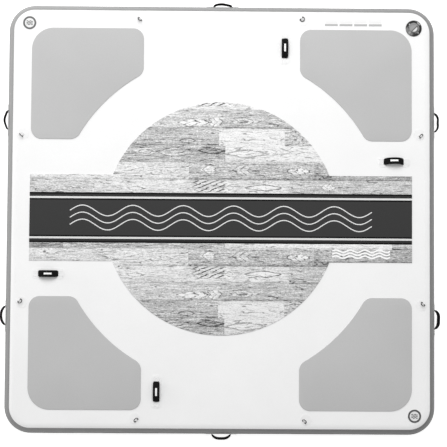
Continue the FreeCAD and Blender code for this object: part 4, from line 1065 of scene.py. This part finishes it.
patches, sewing = [], []
for side in ("left_rear", "left_front", "right_rear", "right_front", "rear", "front"):
    joint = JOINTS[f"side_handle_{side}_lean"]
    foot, run = Vector(joint["pos_m"]), Vector(joint["axis"])
    outward = UP.cross(run)
    wall = frame_of(run, outward, foot - outward * (GLUE + PATCH))
    patches.append(placed(mapped(patch_shape(), round_bulge), wall))
    sewing.append(placed(mapped(box_stitches(), round_bulge), wall))
    handle(f"side_handle_{side}", frame_of(run, outward, foot))
make("side_patches", merge(patches), FINISH["side_patch"], nodes=["side_handle_patches"],
     smooth=50)
make("side_patch_stitches", merge(sewing), thread_dark)


# ------------------------ valve spring

def spring_shape(low, high):
    """Compression spring with closed ends, between two corners of its box."""
    wire, closed, turns = 0.0006, 0.75, 6.5
    radius = (high.x - low.x) / 2 - wire
    closed_rise = 2.1 * wire * closed
    rise = high.z - low.z - 2 * wire
    centre = (low + high) / 2
    points = []
    count = round(turns * 28)
    for i in range(count + 1):
        turn = turns * i / count
        if turn < closed:
            height = closed_rise * turn / closed
        elif turn > turns - closed:
            height = rise - closed_rise * (turns - turn) / closed
        else:
            height = closed_rise + (rise - 2 * closed_rise) * (turn - closed) / (turns - 2 * closed)
        angle = 2 * math.pi * turn
        points.append(Vector((centre.x + radius * math.cos(angle), centre.y + radius * math.sin(angle),
                              low.z + wire + height)))
    rings = []
    for i, here in enumerate(points):
        run = heading(points, i)
        across = run.cross(UP).normalized()
        top = across.cross(run)
        rings.append([here + (across * math.cos(a) + top * math.sin(a)) * wire
                      for a in (math.pi * k / 5 for k in range(10))])
    return loft(rings)


low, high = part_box("valve_spring")
spring = make("valve_spring_coil", spring_shape(low, high), FINISH["spring"],
              nodes=["valve_spring"])
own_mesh(spring)


# ------------------------ stage, light and camera

FLOOR_HALF, FLOOR_GLOW, WORLD_GLOW = 40.0, 0.68, 0.50
# Place, diameter and power of each lamp.
LAMPS = {"key": ((-0.6, 6.0, 8.0), 7.0, 672), "side": ((-9.0, 1.5, 1.6), 3.0, 120)}
# Solved from the outline and the pads of the object in the photograph.
FOCAL_LENGTH, CAMERA_PLACE = 113.61, (-0.09019, -0.56402, 10.13788)
CAMERA_TURN = Matrix(((0.99991796, -0.00685686, -0.01081957),
                      (0.0062767, 0.99858678, -0.05277353),
                      (0.01116614, 0.05270128, 0.99854789)))


def stage_floor():
    """Plain pale floor."""
    f = Finish("floor", roughness=0.9, specular=0.1)
    f.colour(f.add(0.94, f.mul(f.noise(0.8, 3.0), 0.02)))
    f.feed(f.shader.inputs["Emission Color"], (1, 1, 1, 1))
    f.shader.inputs["Emission Strength"].default_value = FLOOR_GLOW
    mesh = bpy.data.meshes.new("floor")
    size = FLOOR_HALF
    mesh.from_pydata([(-size, -size, 0), (size, -size, 0), (size, size, 0), (-size, size, 0)], [], [(0, 1, 2, 3)])
    mesh.materials.append(f.material)
    floor = linked("floor", mesh)


def area_light(name, place, size, power):
    """Soft light aimed at the deck."""
    lamp = bpy.data.lights.new(name, "AREA")
    lamp.shape = "DISK"
    lamp.size = size
    lamp.energy = power
    thing = linked(name, lamp)
    thing.location = place
    thing.rotation_euler = (-Vector(place)).to_track_quat("-Z", "Y").to_euler()


stage_floor()
for name, (place, size, power) in LAMPS.items():
    area_light(name, place, size, power)
world = bpy.data.worlds.new("studio")
world.use_nodes = True
world.node_tree.nodes["Background"].inputs["Color"].default_value = (1, 1, 1, 1)
world.node_tree.nodes["Background"].inputs["Strength"].default_value = WORLD_GLOW
bpy.context.scene.world = world
bpy.context.scene.view_settings.view_transform = "Standard"

lens = bpy.data.cameras.new("camera")
lens.sensor_width = 36.0
lens.lens = FOCAL_LENGTH
lens.clip_end = 100.0
camera = linked("camera", lens)
camera.matrix_world = Matrix.Translation(CAMERA_PLACE) @ CAMERA_TURN.to_4x4()
bpy.context.scene.camera = camera
